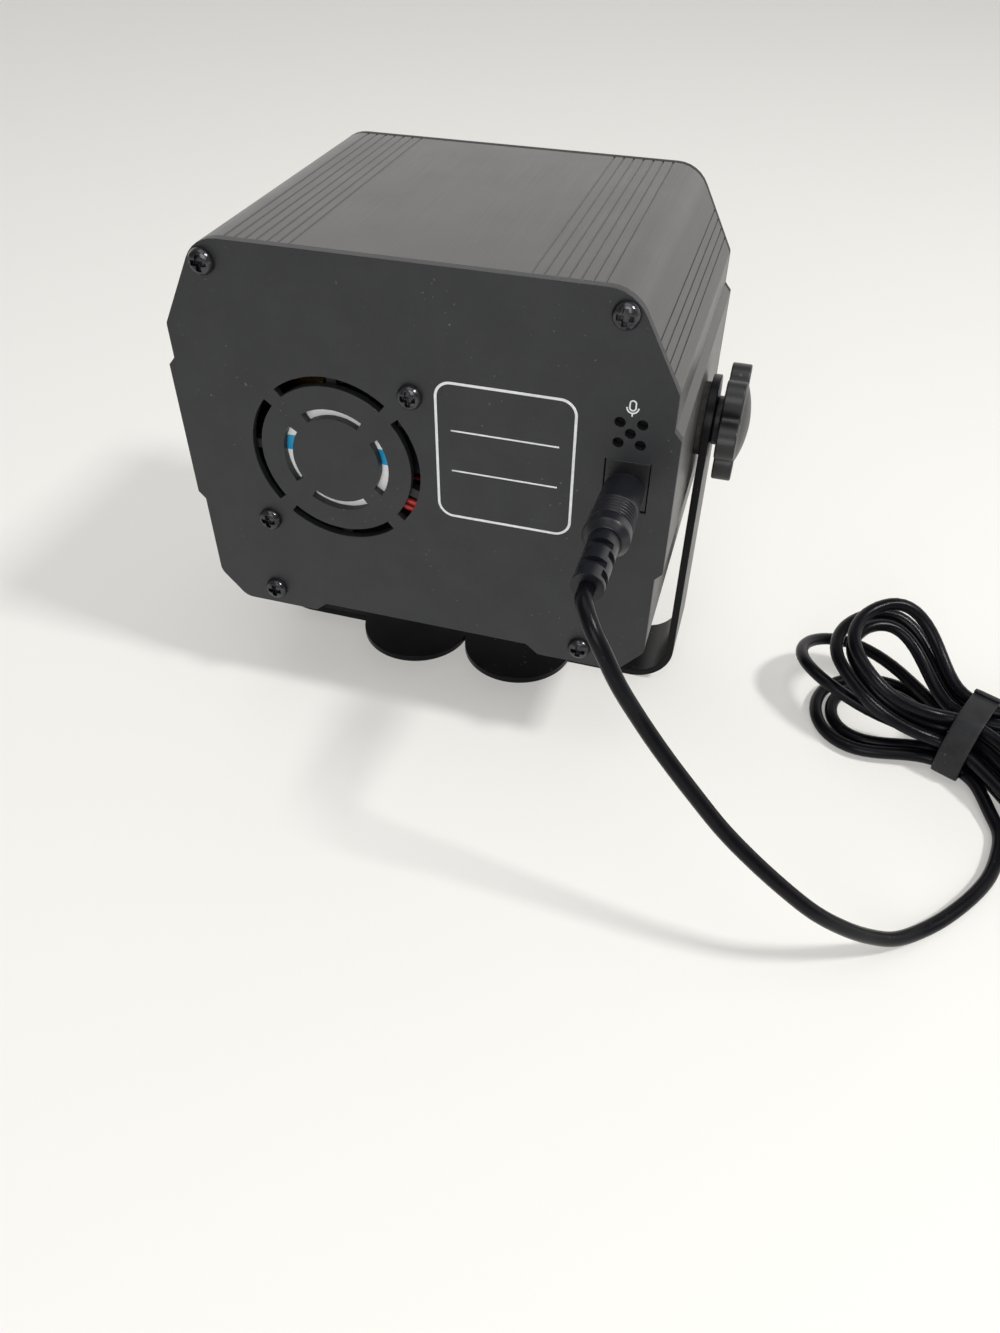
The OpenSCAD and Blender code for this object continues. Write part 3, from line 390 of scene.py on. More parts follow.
@dataclass(frozen=True)
class CircuitPrint(Finish):
    """Solder mask with a grid of paler tracks and round pads."""

    pitch: float = 2.54 * MM
    track: Colour = (0.09, 0.34, 0.16)
    pad: Colour = (0.7, 0.62, 0.4)
    patch_scale: float = 160.0
    track_edges: Span = (0.55, 0.75)
    track_patch: Span = (0.48, 0.56)
    pad_edges: Span = (0.72, 0.82)
    pad_patch: Span = (0.5, 0.56)

    def paint(self, graph: Graph, base: bpy.types.NodeSocket) -> bpy.types.NodeSocket:
        """Tracks where a sine of y is high and pads where sines of y and z are both high.

        Args:
            graph: the material's graph.
            base: the solder mask's colour.

        Returns:
            The colour with tracks and pads.
        """
        _, y, z = graph.axes()
        turn = 2 * math.pi / self.pitch
        across, up = (y * turn).wave(), (z * turn).wave()
        chance = graph.noise(self.patch_scale, SPECK_DETAIL)
        tracks = across.step(*self.track_edges) * chance.step(*self.track_patch)
        pads = (across * up).step(*self.pad_edges) * (1 - chance).step(*self.pad_patch)
        return graph.blend(pads, graph.blend(tracks, base, self.track), self.pad)


@dataclass(frozen=True)
class ClearGlass(Finish):
    """Clear optical glass with a faint tint, and fine crossed lines where it is a grating."""

    lines: float = 0.0
    smear_scale: float = 140.0
    smear_tint: Colour = (0.98, 0.99, 1.0)
    smear_rough: float = 0.05
    smear_edges: Span = (0.55, 0.8)
    refraction: float = 1.5

    def build(self) -> bpy.types.Material:
        """Makes the glass; transmission and refraction are the same all over.

        Returns:
            The material, with faint smears, and crossed sines of x and z as relief where it is ruled.
        """
        material = bpy.data.materials.new(self.name)
        graph = Graph.on_material(material)
        smear = graph.noise(self.smear_scale, FINE_DETAIL)
        graph.set(
            Base_Color=graph.blend(smear, self.colour, self.smear_tint),
            Roughness=self.roughness + self.smear_rough * smear.step(*self.smear_edges),
            Transmission_Weight=1.0, IOR=self.refraction,
        )
        if self.lines:
            x, _, z = graph.axes()
            ruled = (x * self.lines).wave() + (z * self.lines).wave()
            graph.bump(ruled, self.grain_depth)
        else:
            graph.bump(smear, self.grain_depth)
        return material


ANODISED = Finish(
    "black_anodised_extrusion", "black_anodised", (0.045, 0.044, 0.043), 0.4, 0.0, mottle=0.1,
    grain_scale=3200.0, grain_depth=0.012 * MM, streak=(2600.0, 30.0, 2600.0), streak_depth=0.006 * MM,
    dust=0.2, specular=0.7,
)
COAT = Finish(
    "black_powder_coat", "black_coat", (0.021, 0.022, 0.0245), 0.46, mottle=0.12, grain_scale=2400.0,
    grain_depth=0.03 * MM, dust=0.2, specular=0.4,
)
# The plates' black coat made darker on the front plate, so that its edge shows as a dark line round the
# sleeve: painted shade.
SHADED_FRONT_COAT = Finish(
    "black_front_coat_painted_shade", "black_coat", (0.009, 0.009, 0.01), 0.55, mottle=0.12, grain_scale=2400.0,
    grain_depth=0.03 * MM, dust=0.2, specular=0.25,
)
# Black coat of the bracket, darker than the other black coats: partly the bracket's own black, partly painted
# shade standing in for the shade under the body.
SHADED_BRACKET_COAT = Finish(
    "bracket_coat_painted_shade", "black_coat", (0.003, 0.003, 0.004), 0.32, mottle=0.2, grain_scale=900.0,
    grain_depth=0.012 * MM, dust=0.15, specular=0.15,
)
BLACK_SCREW = Finish(
    "black_oxide_screw", "black_steel", (0.055, 0.055, 0.06), 0.22, 0.85, mottle=0.3, mottle_scale=600.0,
    grain_depth=0.012 * MM,
)
BRIGHT = Finish(
    "bright_steel", "bright_steel", (0.62, 0.62, 0.63), 0.26, 1.0, mottle=0.08, grain_depth=0.004 * MM,
    streak=(400.0, 6000.0, 6000.0), streak_depth=0.004 * MM,
)
BRASS = Finish(
    "turned_brass", "brass", (0.66, 0.45, 0.17), 0.3, 1.0, mottle=0.12, grain_depth=0.005 * MM,
    streak=(500.0, 5000.0, 500.0), streak_depth=0.004 * MM,
)
ALUMINIUM = Finish(
    "plain_aluminium", "raw_aluminium", (0.6, 0.6, 0.61), 0.36, 1.0, mottle=0.08, grain_depth=0.006 * MM,
    streak=(300.0, 300.0, 5000.0), streak_depth=0.006 * MM,
)
MOULDED = Finish(
    "moulded_black_plastic", "black_plastic", (0.012, 0.012, 0.013), 0.4, mottle=0.15, grain_scale=2000.0,
    grain_depth=0.035 * MM, dust=0.12, specular=0.45,
)
PLUG_VINYL = Finish(
    "plug_vinyl", "cable_black", (0.0072, 0.0076, 0.0112), 0.34, mottle=0.15, grain_scale=1600.0,
    grain_depth=0.012 * MM, dust=0.12, specular=0.4,
)
JACKET = Finish(
    "lead_jacket", "cable_black", (0.003, 0.003, 0.0048), 0.3, mottle=0.2, mottle_scale=160.0,
    grain_scale=1900.0, grain_depth=0.01 * MM, dust=0.1, specular=0.14,
)
STRAP = Finish(
    "tie_strap", "tie_grey", (0.012, 0.0125, 0.014), 0.55, mottle=0.3, mottle_scale=300.0,
    grain_scale=1500.0, grain_depth=0.05 * MM, streak=(160.0, 160.0, 2600.0), streak_depth=0.05 * MM,
    dust=0.15, specular=0.3,
)
WASHER = Finish(
    "pressed_washer", "washer_grey", (0.045, 0.043, 0.04), 0.8, mottle=0.3, mottle_scale=500.0,
    grain_scale=1500.0, grain_depth=0.05 * MM,
)
FAN_PLASTIC = Finish(
    "fan_plastic", "black_plastic", (0.012, 0.012, 0.013), 0.45, mottle=0.2, grain_depth=0.02 * MM,
    dust=0.2,
)
STICKER = StickerPrint(
    "fan_hub_film", "label_white", (0.94, 0.94, 0.93), 0.3, mottle=0.02, grain_depth=0.004 * MM,
)
CIRCUIT = CircuitPrint(
    "circuit_board", "board_green", (0.02, 0.14, 0.055), 0.35, mottle=0.12, grain_depth=0.01 * MM,
)
SLEEVE_BLUE = Finish(
    "capacitor_sleeve", "capacitor_blue", (0.03, 0.06, 0.17), 0.28, mottle=0.1, grain_depth=0.006 * MM,
    coat=0.3,
)
RED_LEAD = Finish(
    "red_lead_jacket", "red_lead", (0.5, 0.02, 0.015), 0.4, mottle=0.15, grain_depth=0.008 * MM,
)
WHITE_BOARD = Finish(
    "white_metal_board", "white_board", (0.8, 0.8, 0.77), 0.4, mottle=0.05, grain_depth=0.008 * MM,
)
PHOSPHOR = Finish(
    "emitter_phosphor", "emitter", (0.86, 0.66, 0.16), 0.25, mottle=0.1, grain_depth=0.006 * MM, coat=0.5,
)
WHITE_PLASTIC = Finish(
    "white_moulding", "white_plastic", (0.76, 0.76, 0.73), 0.35, mottle=0.06, grain_depth=0.01 * MM,
)
CAPSULE = FeltFace(
    "drawn_can", "grey_capsule", (0.45, 0.45, 0.46), 0.4, 0.3, mottle=0.1, grain_depth=0.008 * MM,
    specular=0.2,
)
DARK_WINDOW = Finish(
    "dark_red_window", "dark_window", (0.03, 0.006, 0.006), 0.1, mottle=0.2, grain_depth=0.003 * MM,
    coat=0.6,
)
INK = Finish(
    "white_print", "label_white", (0.74, 0.75, 0.76), 0.5, mottle=0.06, mottle_scale=700.0,
    grain_depth=0.008 * MM,
)
GLASS = ClearGlass("lens_glass", "clear_glass", (0.9, 0.95, 0.97), 0.03, grain_depth=0.002 * MM)
GRATING = ClearGlass(
    "grating_glass", "clear_glass", (0.85, 0.93, 0.98), 0.08, grain_depth=0.01 * MM, lines=9000.0,
)

NODE_FINISH: dict[str, Finish] = {
    "bracket": SHADED_BRACKET_COAT, "body_shell": ANODISED, "rear_plate": COAT, "front_plate": SHADED_FRONT_COAT,
    "rear_plate_screws": BLACK_SCREW, "front_plate_screws": BLACK_SCREW, "pivot_inserts": BRASS,
    "friction_washers": WASHER, "knob_left": MOULDED, "knob_right": MOULDED, "knob_stud_left": BRIGHT,
    "knob_stud_right": BRIGHT, "fan_frame": FAN_PLASTIC, "fan_rotor": FAN_PLASTIC, "fan_sticker": STICKER,
    "fan_screws": BLACK_SCREW, "fan_nuts": BRIGHT, "fan_leads": RED_LEAD, "driver_board": CIRCUIT,
    "board_capacitors": SLEEVE_BLUE, "control_chip": FAN_PLASTIC, "dc_jack": MOULDED, "mic_capsule": CAPSULE,
    "optics_plate": ALUMINIUM, "standoffs": BRASS, "standoff_screws": BLACK_SCREW, "plate_nuts": BRIGHT,
    "laser_block": ALUMINIUM, "laser_modules": BRASS, "laser_leads": RED_LEAD, "grating_motor": BRIGHT,
    "grating_hub": FAN_PLASTIC, "grating_disc": GRATING, "led_board": WHITE_BOARD, "led_emitters": PHOSPHOR,
    "collimator": WHITE_PLASTIC, "heat_sink": ALUMINIUM, "led_leads": RED_LEAD, "lens_barrel_left": ANODISED,
    "lens_barrel_right": ANODISED, "barrel_nuts": ANODISED, "laser_window": GLASS, "projection_lens": GLASS,
    "ir_receiver": DARK_WINDOW, "dc_plug_barrel": BRIGHT, "dc_plug_grip": PLUG_VINYL,
    "dc_strain_relief": PLUG_VINYL, "cord_free": JACKET, "cord_hank": JACKET, "cord_tail": JACKET,
    "hank_tie": STRAP, "usb_grip": MOULDED, "usb_shell": BRIGHT, "usb_tongue": WHITE_PLASTIC,
}

SOFT_EDGE_MM: dict[str, float] = {
    "bracket": 0.45, "body_shell": 0.16, "rear_plate": 0.3, "front_plate": 0.3, "rear_plate_screws": 0.14,
    "front_plate_screws": 0.14, "fan_screws": 0.14, "standoff_screws": 0.14, "knob_left": 0.9,
    "knob_right": 0.9, "friction_washers": 0.2, "lens_barrel_left": 0.3, "lens_barrel_right": 0.3,
    "dc_plug_grip": 0.12, "dc_strain_relief": 0.25, "dc_jack": 0.25, "usb_grip": 0.8, "usb_shell": 0.1,
    "fan_frame": 0.2, "fan_rotor": 0.1,
}


class Paintbox:
    """Makes each finish's material once and puts it on pieces."""

    def __init__(self) -> None:
        """Starts with no material made."""
        self.made: dict[str, bpy.types.Material] = {}

    def dress(self, piece: bpy.types.Object, finish: Finish) -> None:
        """Gives a piece the finish's material.

        Args:
            piece: the piece.
            finish: its finish.
        """
        if finish.name not in self.made:
            self.made[finish.name] = finish.build()
        piece.data.materials.clear()
        piece.data.materials.append(self.made[finish.name])


PAINT = Paintbox()


def new_piece(name: str, mesh: bpy.types.Mesh) -> bpy.types.Object:
    """Links a new object at the origin.

    Args:
        name: the piece's name.
        mesh: its mesh, in the part's frame.

    Returns:
        The object.
    """
    piece = bpy.data.objects.new(name, mesh)
    bpy.context.scene.collection.objects.link(piece)
    return piece


def grid_mesh(name: str, grid: np.ndarray, wrap_rows: bool = False, caps: bool = True) -> bpy.types.Mesh:
    """Mesh over a grid of points whose columns close on themselves.

    Row i and column j give the quad (i, j), (i, j+1), (i+1, j+1), (i+1, j). Open rows end in flat caps.

    Args:
        name: the mesh's name.
        grid: points, rows by columns by three.
        wrap_rows: whether the last row joins the first.
        caps: whether open ends are closed.

    Returns:
        The mesh, with its faces turned outwards.
    """
    rows, columns = grid.shape[:2]
    i = np.arange(rows if wrap_rows else rows - 1)[:, None]
    j = np.arange(columns)[None, :]
    below, beside = (i + 1) % rows, (j + 1) % columns
    quads = np.stack(
        [i * columns + j, i * columns + beside, below * columns + beside, below * columns + j], axis=-1
    ).reshape(-1, 4)
    faces = quads.tolist()
    if caps and not wrap_rows:
        faces.append(list(range(columns))[::-1])
        faces.append(list(range((rows - 1) * columns, rows * columns)))
    mesh = bpy.data.meshes.new(name)
    mesh.from_pydata(grid.reshape(-1, 3).tolist(), [], faces)
    outwards(mesh)
    return mesh


def outwards(mesh: bpy.types.Mesh) -> None:
    """Turns a closed mesh's faces outwards and shades it smooth.

    Args:
        mesh: the mesh.
    """
    work = bmesh.new()
    work.from_mesh(mesh)
    bmesh.ops.recalc_face_normals(work, faces=work.faces)
    work.to_mesh(mesh)
    work.free()
    mesh.polygons.foreach_set("use_smooth", np.ones(len(mesh.polygons), bool))
    mesh.update()


def sweep(
    path: np.ndarray, profile: np.ndarray, closed: bool = False, up: Sequence[float] = (0, 0, 1)
) -> np.ndarray:
    """Grid of a flat profile carried along a path.

    At each point the tangent t gives side = t x up and rise = side x t; a profile point (a, b) lands at
    p + a * side + b * rise.

    Args:
        path: points along the path, n by 3.
        profile: points of the closed profile, m by 2.
        closed: whether the path closes on itself.
        up: direction that is never along the path.

    Returns:
        Points, n by m by 3.
    """
    if closed:
        tangent = np.roll(path, -1, 0) - np.roll(path, 1, 0)
    else:
        tangent = np.gradient(path, axis=0)
    tangent /= np.linalg.norm(tangent, axis=1, keepdims=True)
    side = np.cross(tangent, np.asarray(up, float))
    side /= np.linalg.norm(side, axis=1, keepdims=True)
    rise = np.cross(side, tangent)
    return path[:, None] + profile[None, :, :1] * side[:, None] + profile[None, :, 1:] * rise[:, None]


def ring_profile(diameter: float, count: int) -> np.ndarray:
    """Points round a circle of that diameter."""
    a = np.linspace(0, 2 * np.pi, count, endpoint=False)
    return diameter / 2 * np.stack([np.cos(a), np.sin(a)], axis=1)


def bar_profile(width: float, height: float, power: float = 6.0, count: int = 24) -> np.ndarray:
    """Points round a bar with rounded corners: the curve |2a/w|^p + |2b/h|^p = 1.

    Args:
        width: the bar's width w.
        height: the bar's height h.
        power: the power p; the higher it is, the sharper the corners.
        count: number of points.

    Returns:
        Points, count by 2.
    """
    a = np.linspace(0, 2 * np.pi, count, endpoint=False)
    c, s = np.cos(a), np.sin(a)
    across = width / 2 * np.sign(c) * np.abs(c) ** (2 / power)
    rise = height / 2 * np.sign(s) * np.abs(s) ** (2 / power)
    return np.stack([across, rise], axis=1)


def rounded_box_path(width: float, height: float, radius: float, steps: int = 10) -> np.ndarray:
    """Flat closed path round a box, centred on the origin: a quarter circle turned into each corner.

    Args:
        width: the box's width.
        height: its height.
        radius: radius of its corners.
        steps: points on each corner.

    Returns:
        Points, n by 2.
    """
    a = np.linspace(0, np.pi / 2, steps)
    quarter = np.stack([np.cos(a), np.sin(a)], axis=1) * radius
    corners = [(1, 1, 0), (-1, 1, 1), (-1, -1, 2), (1, -1, 3)]
    turned = [
        quarter @ np.linalg.matrix_power(np.array([[0, 1], [-1, 0]]), turn)
        + [sx * (width / 2 - radius), sy * (height / 2 - radius)]
        for sx, sy, turn in corners
    ]
    return np.concatenate(turned)


@dataclass
class SoftEdges:
    """Copies of the solids with the small edge rounding that moulding, coating and tumbling leave."""

    segments: int = 2
    angle: float = math.radians(33)
    join: float = 0.002 * MM
    flat: float = math.radians(0.3)

    def build(self) -> None:
        """Makes one rounded copy for each node that is listed, in place of that node."""
        for node, width in SOFT_EDGE_MM.items():
            piece = new_piece(f"{node}_dressed", self.merged(node))
            bevel = piece.modifiers.new("edge", "BEVEL")
            bevel.width = width * MM
            bevel.segments = self.segments
            bevel.limit_method = "ANGLE"
            bevel.angle_limit = self.angle
            bevel.use_clamp_overlap = True
            normals = piece.modifiers.new("normals", "WEIGHTED_NORMAL")
            normals.keep_sharp = True
            PAINT.dress(piece, NODE_FINISH[node])
            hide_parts(node)
            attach(piece, BODY_OF[node])
            log.info("%s, edges rounded by %.2f mm", piece.name, width)

    def merged(self, node: str) -> bpy.types.Mesh:
        """Copy of a node's mesh with its corners joined and its flat faces whole.

        Args:
            node: the node's name.

        Returns:
            The new mesh.
        """
        mesh = NODES[node].data.copy()
        mesh.name = f"{node}_dressed"
        work = bmesh.new()
        work.from_mesh(mesh)
        bmesh.ops.remove_doubles(work, verts=work.verts, dist=self.join)
        bmesh.ops.dissolve_limit(
            work, angle_limit=self.flat, use_dissolve_boundaries=False, verts=work.verts, edges=work.edges
        )
        work.to_mesh(mesh)
        work.free()
        mesh.polygons.foreach_set("use_smooth", np.ones(len(mesh.polygons), bool))
        return mesh


@dataclass
class PowerLead:
    """The lead from the plug to the hank, through the hank and on to the far plug, as one tube."""

    diameter: float = 3.5 * MM
    sides: int = 16
    plug_end: Place = (49.3, -82.1, 85.6)
    free: tuple[Place, ...] = (
        (52, -90, 83), (55, -92, 79), (59, -93, 72), (64, -93, 64), (70, -94, 56.5), (77, -95, 48.5),
        (84, -96, 41), (91, -97, 35), (99, -97.5, 28.5), (107, -97, 22), (115, -94, 15), (122, -90, 9),
        (128, -86, 5), (134, -80.5, 2.5), (140, -74.5, 2), (146, -67, 2), (150.5, -59.5, 2), (153, -52, 2),
        (154, -44.5, 2), (152, -38, 2.4),
    )
    tail: tuple[Place, ...] = (
        (161, -12.6, 16.6), (171, -10.6, 16.6), (181, -9.2, 14), (189.5, -6.2, 9.8), (196, -1.2, 6.2),
        (199.5, 5, 4.3),
    )
    far_end: Place = (200, 11.5, 4.05)
    hank_at: Span = (145, -18)
    hank_turn: float = math.radians(156)
    turns: float = 5.5
    layer_turns: float = 1.5
    layer_rounding: float = 0.25
    half_run: float = 28.0
    fold: float = 10.5
    waist: float = 1.2
    lane_step: float = 4.3
    layer_step: float = 4.2
    climb: float = 0.11
    end_z: float = 2.0
    waist_lift: float = 1.5
    fan_unseen: float = 0.3
    sway: float = 3.0
    sway_phase: float = 150.0
    layer_reach: tuple[float, ...] = (-4, 8, -3, -5)
    layer_sway: tuple[float, ...] = (-2, 2, 3, 1)
    layer_rise: tuple[float, ...] = (0, 6, 12, 14)
    layer_tilt: tuple[float, ...] = (0, -0.25, 0.1, 0.2)
    calm_run: float = 6.0
    lead_run: float = 8.4
    lead_gap: float = 0.3
    bend_from: Place = (47, -84, 89)
    bend_to: Place = (98, -72, 26)
    route_steps: int = 6
    hank_steps: int = 96

    @staticmethod
    def ease(t: np.ndarray) -> np.ndarray:
        """Smooth step 3t^2 - 2t^3 on t held between 0 and 1."""
        t = np.clip(t, 0, 1)
        return t * t * (3 - 2 * t)

    def half_width(self, u: np.ndarray, out: np.ndarray, run: np.ndarray) -> np.ndarray:
        """Half width of a loop at u along a run: drawn in at the waist, round at the folds."""
        swell = (1 - np.cos(np.pi * np.minimum(1, np.abs(u) / run))) / 2
        return self.waist + out + (self.fold - self.waist) * swell

    def on_table(self, u: np.ndarray, v: np.ndarray, z: np.ndarray) -> np.ndarray:
        """Turns a place by the hank's angle and moves it to the hank's middle on the table.

        Args:
            u: places along the hank.
            v: places across it.
            z: heights.

        Returns:
            Points in the part's frame, in millimetres.
        """
        c, s = math.cos(self.hank_turn), math.sin(self.hank_turn)
        return np.stack(
            [self.hank_at[0] + u * c + v * s, self.hank_at[1] + u * s - v * c, z + 0 * u], axis=-1
        )

    def hank(self, s: np.ndarray) -> np.ndarray:
        """Centre line of the hank at s turns, on the table."""
        return self.on_table(*self.hank_flat(s))

    def hank_flat(self, s: np.ndarray) -> tuple[np.ndarray, np.ndarray, np.ndarray]:
        """Centre line of the hank at s turns, along, across and up.

        A turn's 360 degrees a are a run, a fold, a run, a fold and the first run's other half; a fold is the
        half circle (r sin b, r cos b) with b twice the angle past its start. Lanes step in and out by the
        turn, layers climb along a run every turn and a half, and the layers fan out away from the tie. At
        the seen end, each layer's loops are longer, aside, higher and tilted by amounts of their own.

        Args:
            s: turns from the start.

        Returns:
            Places along and across the hank and heights, in millimetres.
        """
        s = np.asarray(s, float)
        lane = self.layer_turns - np.abs(s % (2 * self.layer_turns) - self.layer_turns)
        layer = sum(
            self.ease((s - k * self.layer_turns + self.climb) / (2 * self.climb))
            for k in range(1, len(self.layer_reach))
        )
        out = self.lane_step * (self.layer_turns - lane)
        a = 360 * (s - np.floor(s))
        r = self.fold + out
        seen = a < 180
        first_run, first_fold, second_run, second_fold = 45, 135, 225, 315
        row = ((np.floor(s) + self.layer_rounding) / self.layer_turns).astype(int)
        reach, aside, rise, tilt = (
            np.where(seen, np.asarray(values, float)[row], 0)
            for values in (self.layer_reach, self.layer_sway, self.layer_rise, self.layer_tilt)
        )
        run = self.half_run + reach
        near, far, back = (run * x / first_run for x in (a, 180 - a, a - 360))
        left, right = np.radians(2 * (a - first_run)), np.radians(2 * (a - second_run))
        parts = [a <= first_run, a <= first_fold, a <= second_run, a <= second_fold, a > second_fold]
        u = np.select(
            parts, [near, run + r * np.sin(left), far, -run - r * np.sin(right), back]
        )
        v = np.select(
            parts,
            [-self.half_width(near, out, run), -r * np.cos(left), self.half_width(far, out, run),
             r * np.cos(right), -self.half_width(back, out, run)],
        )
        spread = self.ease((np.abs(u) - self.calm_run) / (run + self.fold - self.calm_run))
        height = layer * self.layer_step
        aside = np.where(seen, aside, self.sway * np.sin(np.radians(self.sway_phase * layer)))
        rise = np.where(seen, rise + tilt * v, self.fan_unseen * height)
        return u, v + spread * aside, self.end_z + self.waist_lift * (1 - spread) + height + spread * rise

    @staticmethod
    def curve(points: Sequence[Sequence[float]], steps: int) -> np.ndarray:
        """Smooth curve through points, straight along its first and last stretch.

        Between points b and c with neighbours a and d it is the cubic
        (2b + (c-a)t + (2a-5b+4c-d)t^2 + (3b-a-3c+d)t^3) / 2.

        Args:
            points: the route.
            steps: pieces that each stretch is cut into.

        Returns:
            Points along the curve, n by 3.
        """
        p = np.asarray(points, float)
        a, b, c, d = p[:-3], p[1:-2], p[2:-1], p[3:]
        t = (np.arange(steps) / steps)[None, :, None]
        a, b, c, d = (x[:, None] for x in (a, b, c, d))
        middle = 0.5 * (
            2 * b + (c - a) * t + (2 * a - 5 * b + 4 * c - d) * t**2 + (3 * b - a - 3 * c + d) * t**3
        )
        return np.concatenate([p[:1], middle.reshape(-1, 3), p[-2:]])

    def path(self) -> np.ndarray:
        """Centre line of the whole lead: the free route, the hank's turns and the tail.

        Returns:
            Points along it, n by 3, in metres.
        """
        along = np.array([math.cos(self.hank_turn), math.sin(self.hank_turn), 0])
        d = self.diameter / MM
        start, stop = self.hank(np.array(0.0)), self.hank(np.array(self.turns))
        plug, end = np.array(self.plug_end), np.array(self.far_end)
        back = np.array([0, d, 0])
        width = self.half_width(
            np.array(self.lead_run), np.array(self.lane_step * self.layer_turns), np.array(self.half_run)
        )
        entry = self.on_table(
            np.array(-self.lead_run), -width - self.lead_gap, np.array(self.end_z + self.waist_lift)
        )
        step = 1 / self.hank_steps
        free = self.curve([plug, plug - back, *self.free, entry, start - d * along, start], self.route_steps)
        wound = self.hank(np.arange(2 * step, self.turns - step, step))
        tail = self.curve([stop, stop - d * along, *self.tail, end - back, end], self.route_steps)
        return np.concatenate([free, wound, tail]) * MM

    def build(self) -> bpy.types.Object:
        """Returns:
            The lead's object.
        """
        path = self.path()
        grid = sweep(path, ring_profile(self.diameter, self.sides))
        piece = new_piece("power_lead", grid_mesh("power_lead", grid))
        PAINT.dress(piece, JACKET)
        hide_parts("cord_free", "cord_hank", "cord_tail")
        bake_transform(piece)
        tie = HankTie(self).build()
        return piece


@dataclass
class HankTie:
    """The soft strap drawn round the hank's waist, whose end laps over its start."""

    lead: PowerLead
    width: float = 7.0
    thick: float = 0.8
    gap: float = 0.25
    start: float = math.radians(-20)
    lap: float = math.radians(95)
    ramp: float = math.radians(40)
    soften: float = math.radians(9)
    margin: float = 0.3
    lap_step: float = 1.06
    hank_steps: int = 720
    round_steps: int = 360
    strap_steps: int = 150
    section_power: float = 6.0
    section_points: int = 28

    def build(self) -> bpy.types.Object:
        """Sweeps the strap's section round the bundle.

        With n the direction at angle t, the bundle reaches h(t) = max(strand . n) + radius; the strap's line
        is h n + h' n', with h softened over a few degrees, and it steps out by its own thickness for the lap.

        Returns:
            The strap's object.
        """
        u, v, z = self.lead.hank_flat(np.arange(0, self.lead.turns, 1 / self.hank_steps))
        held = np.abs(u) < self.width / 2 + self.margin
        strands = np.stack([v[held], z[held]], axis=1)
        turn = np.linspace(0, 2 * np.pi, self.round_steps, endpoint=False)
        ways = np.stack([np.cos(turn), np.sin(turn)], axis=1)
        reach = (strands @ ways.T).max(0) + self.lead.diameter / MM / 2 + self.gap + self.thick / 2
        spread = np.exp(-0.5 * (np.minimum(turn, 2 * np.pi - turn) / self.soften) ** 2)
        soft = np.fft.ifft(np.fft.fft(reach) * np.fft.fft(spread / spread.sum())).real
        t = np.linspace(self.start, self.start + 2 * np.pi + self.lap, self.strap_steps)
        past = (t - self.start - 2 * np.pi + self.ramp) / self.ramp
        h = np.interp(t, turn, soft, period=2 * np.pi) + self.lap_step * self.thick * PowerLead.ease(past)
        slope = np.gradient(h, t)
        across, up = h * np.cos(t) - slope * np.sin(t), h * np.sin(t) + slope * np.cos(t)
        path = self.lead.on_table(0 * t, across, up) * MM
        along = (math.cos(self.lead.hank_turn), math.sin(self.lead.hank_turn), 0)
        section = bar_profile(
            self.thick * MM, self.width * MM, self.section_power, self.section_points
        )
        piece = new_piece("hank_tie_strap", grid_mesh("hank_tie_strap", sweep(path, section, up=along)))
        PAINT.dress(piece, STRAP)
        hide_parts("hank_tie")
        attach(piece, Body.STAND.value)
        log.info("hank_tie_strap")
        return piece


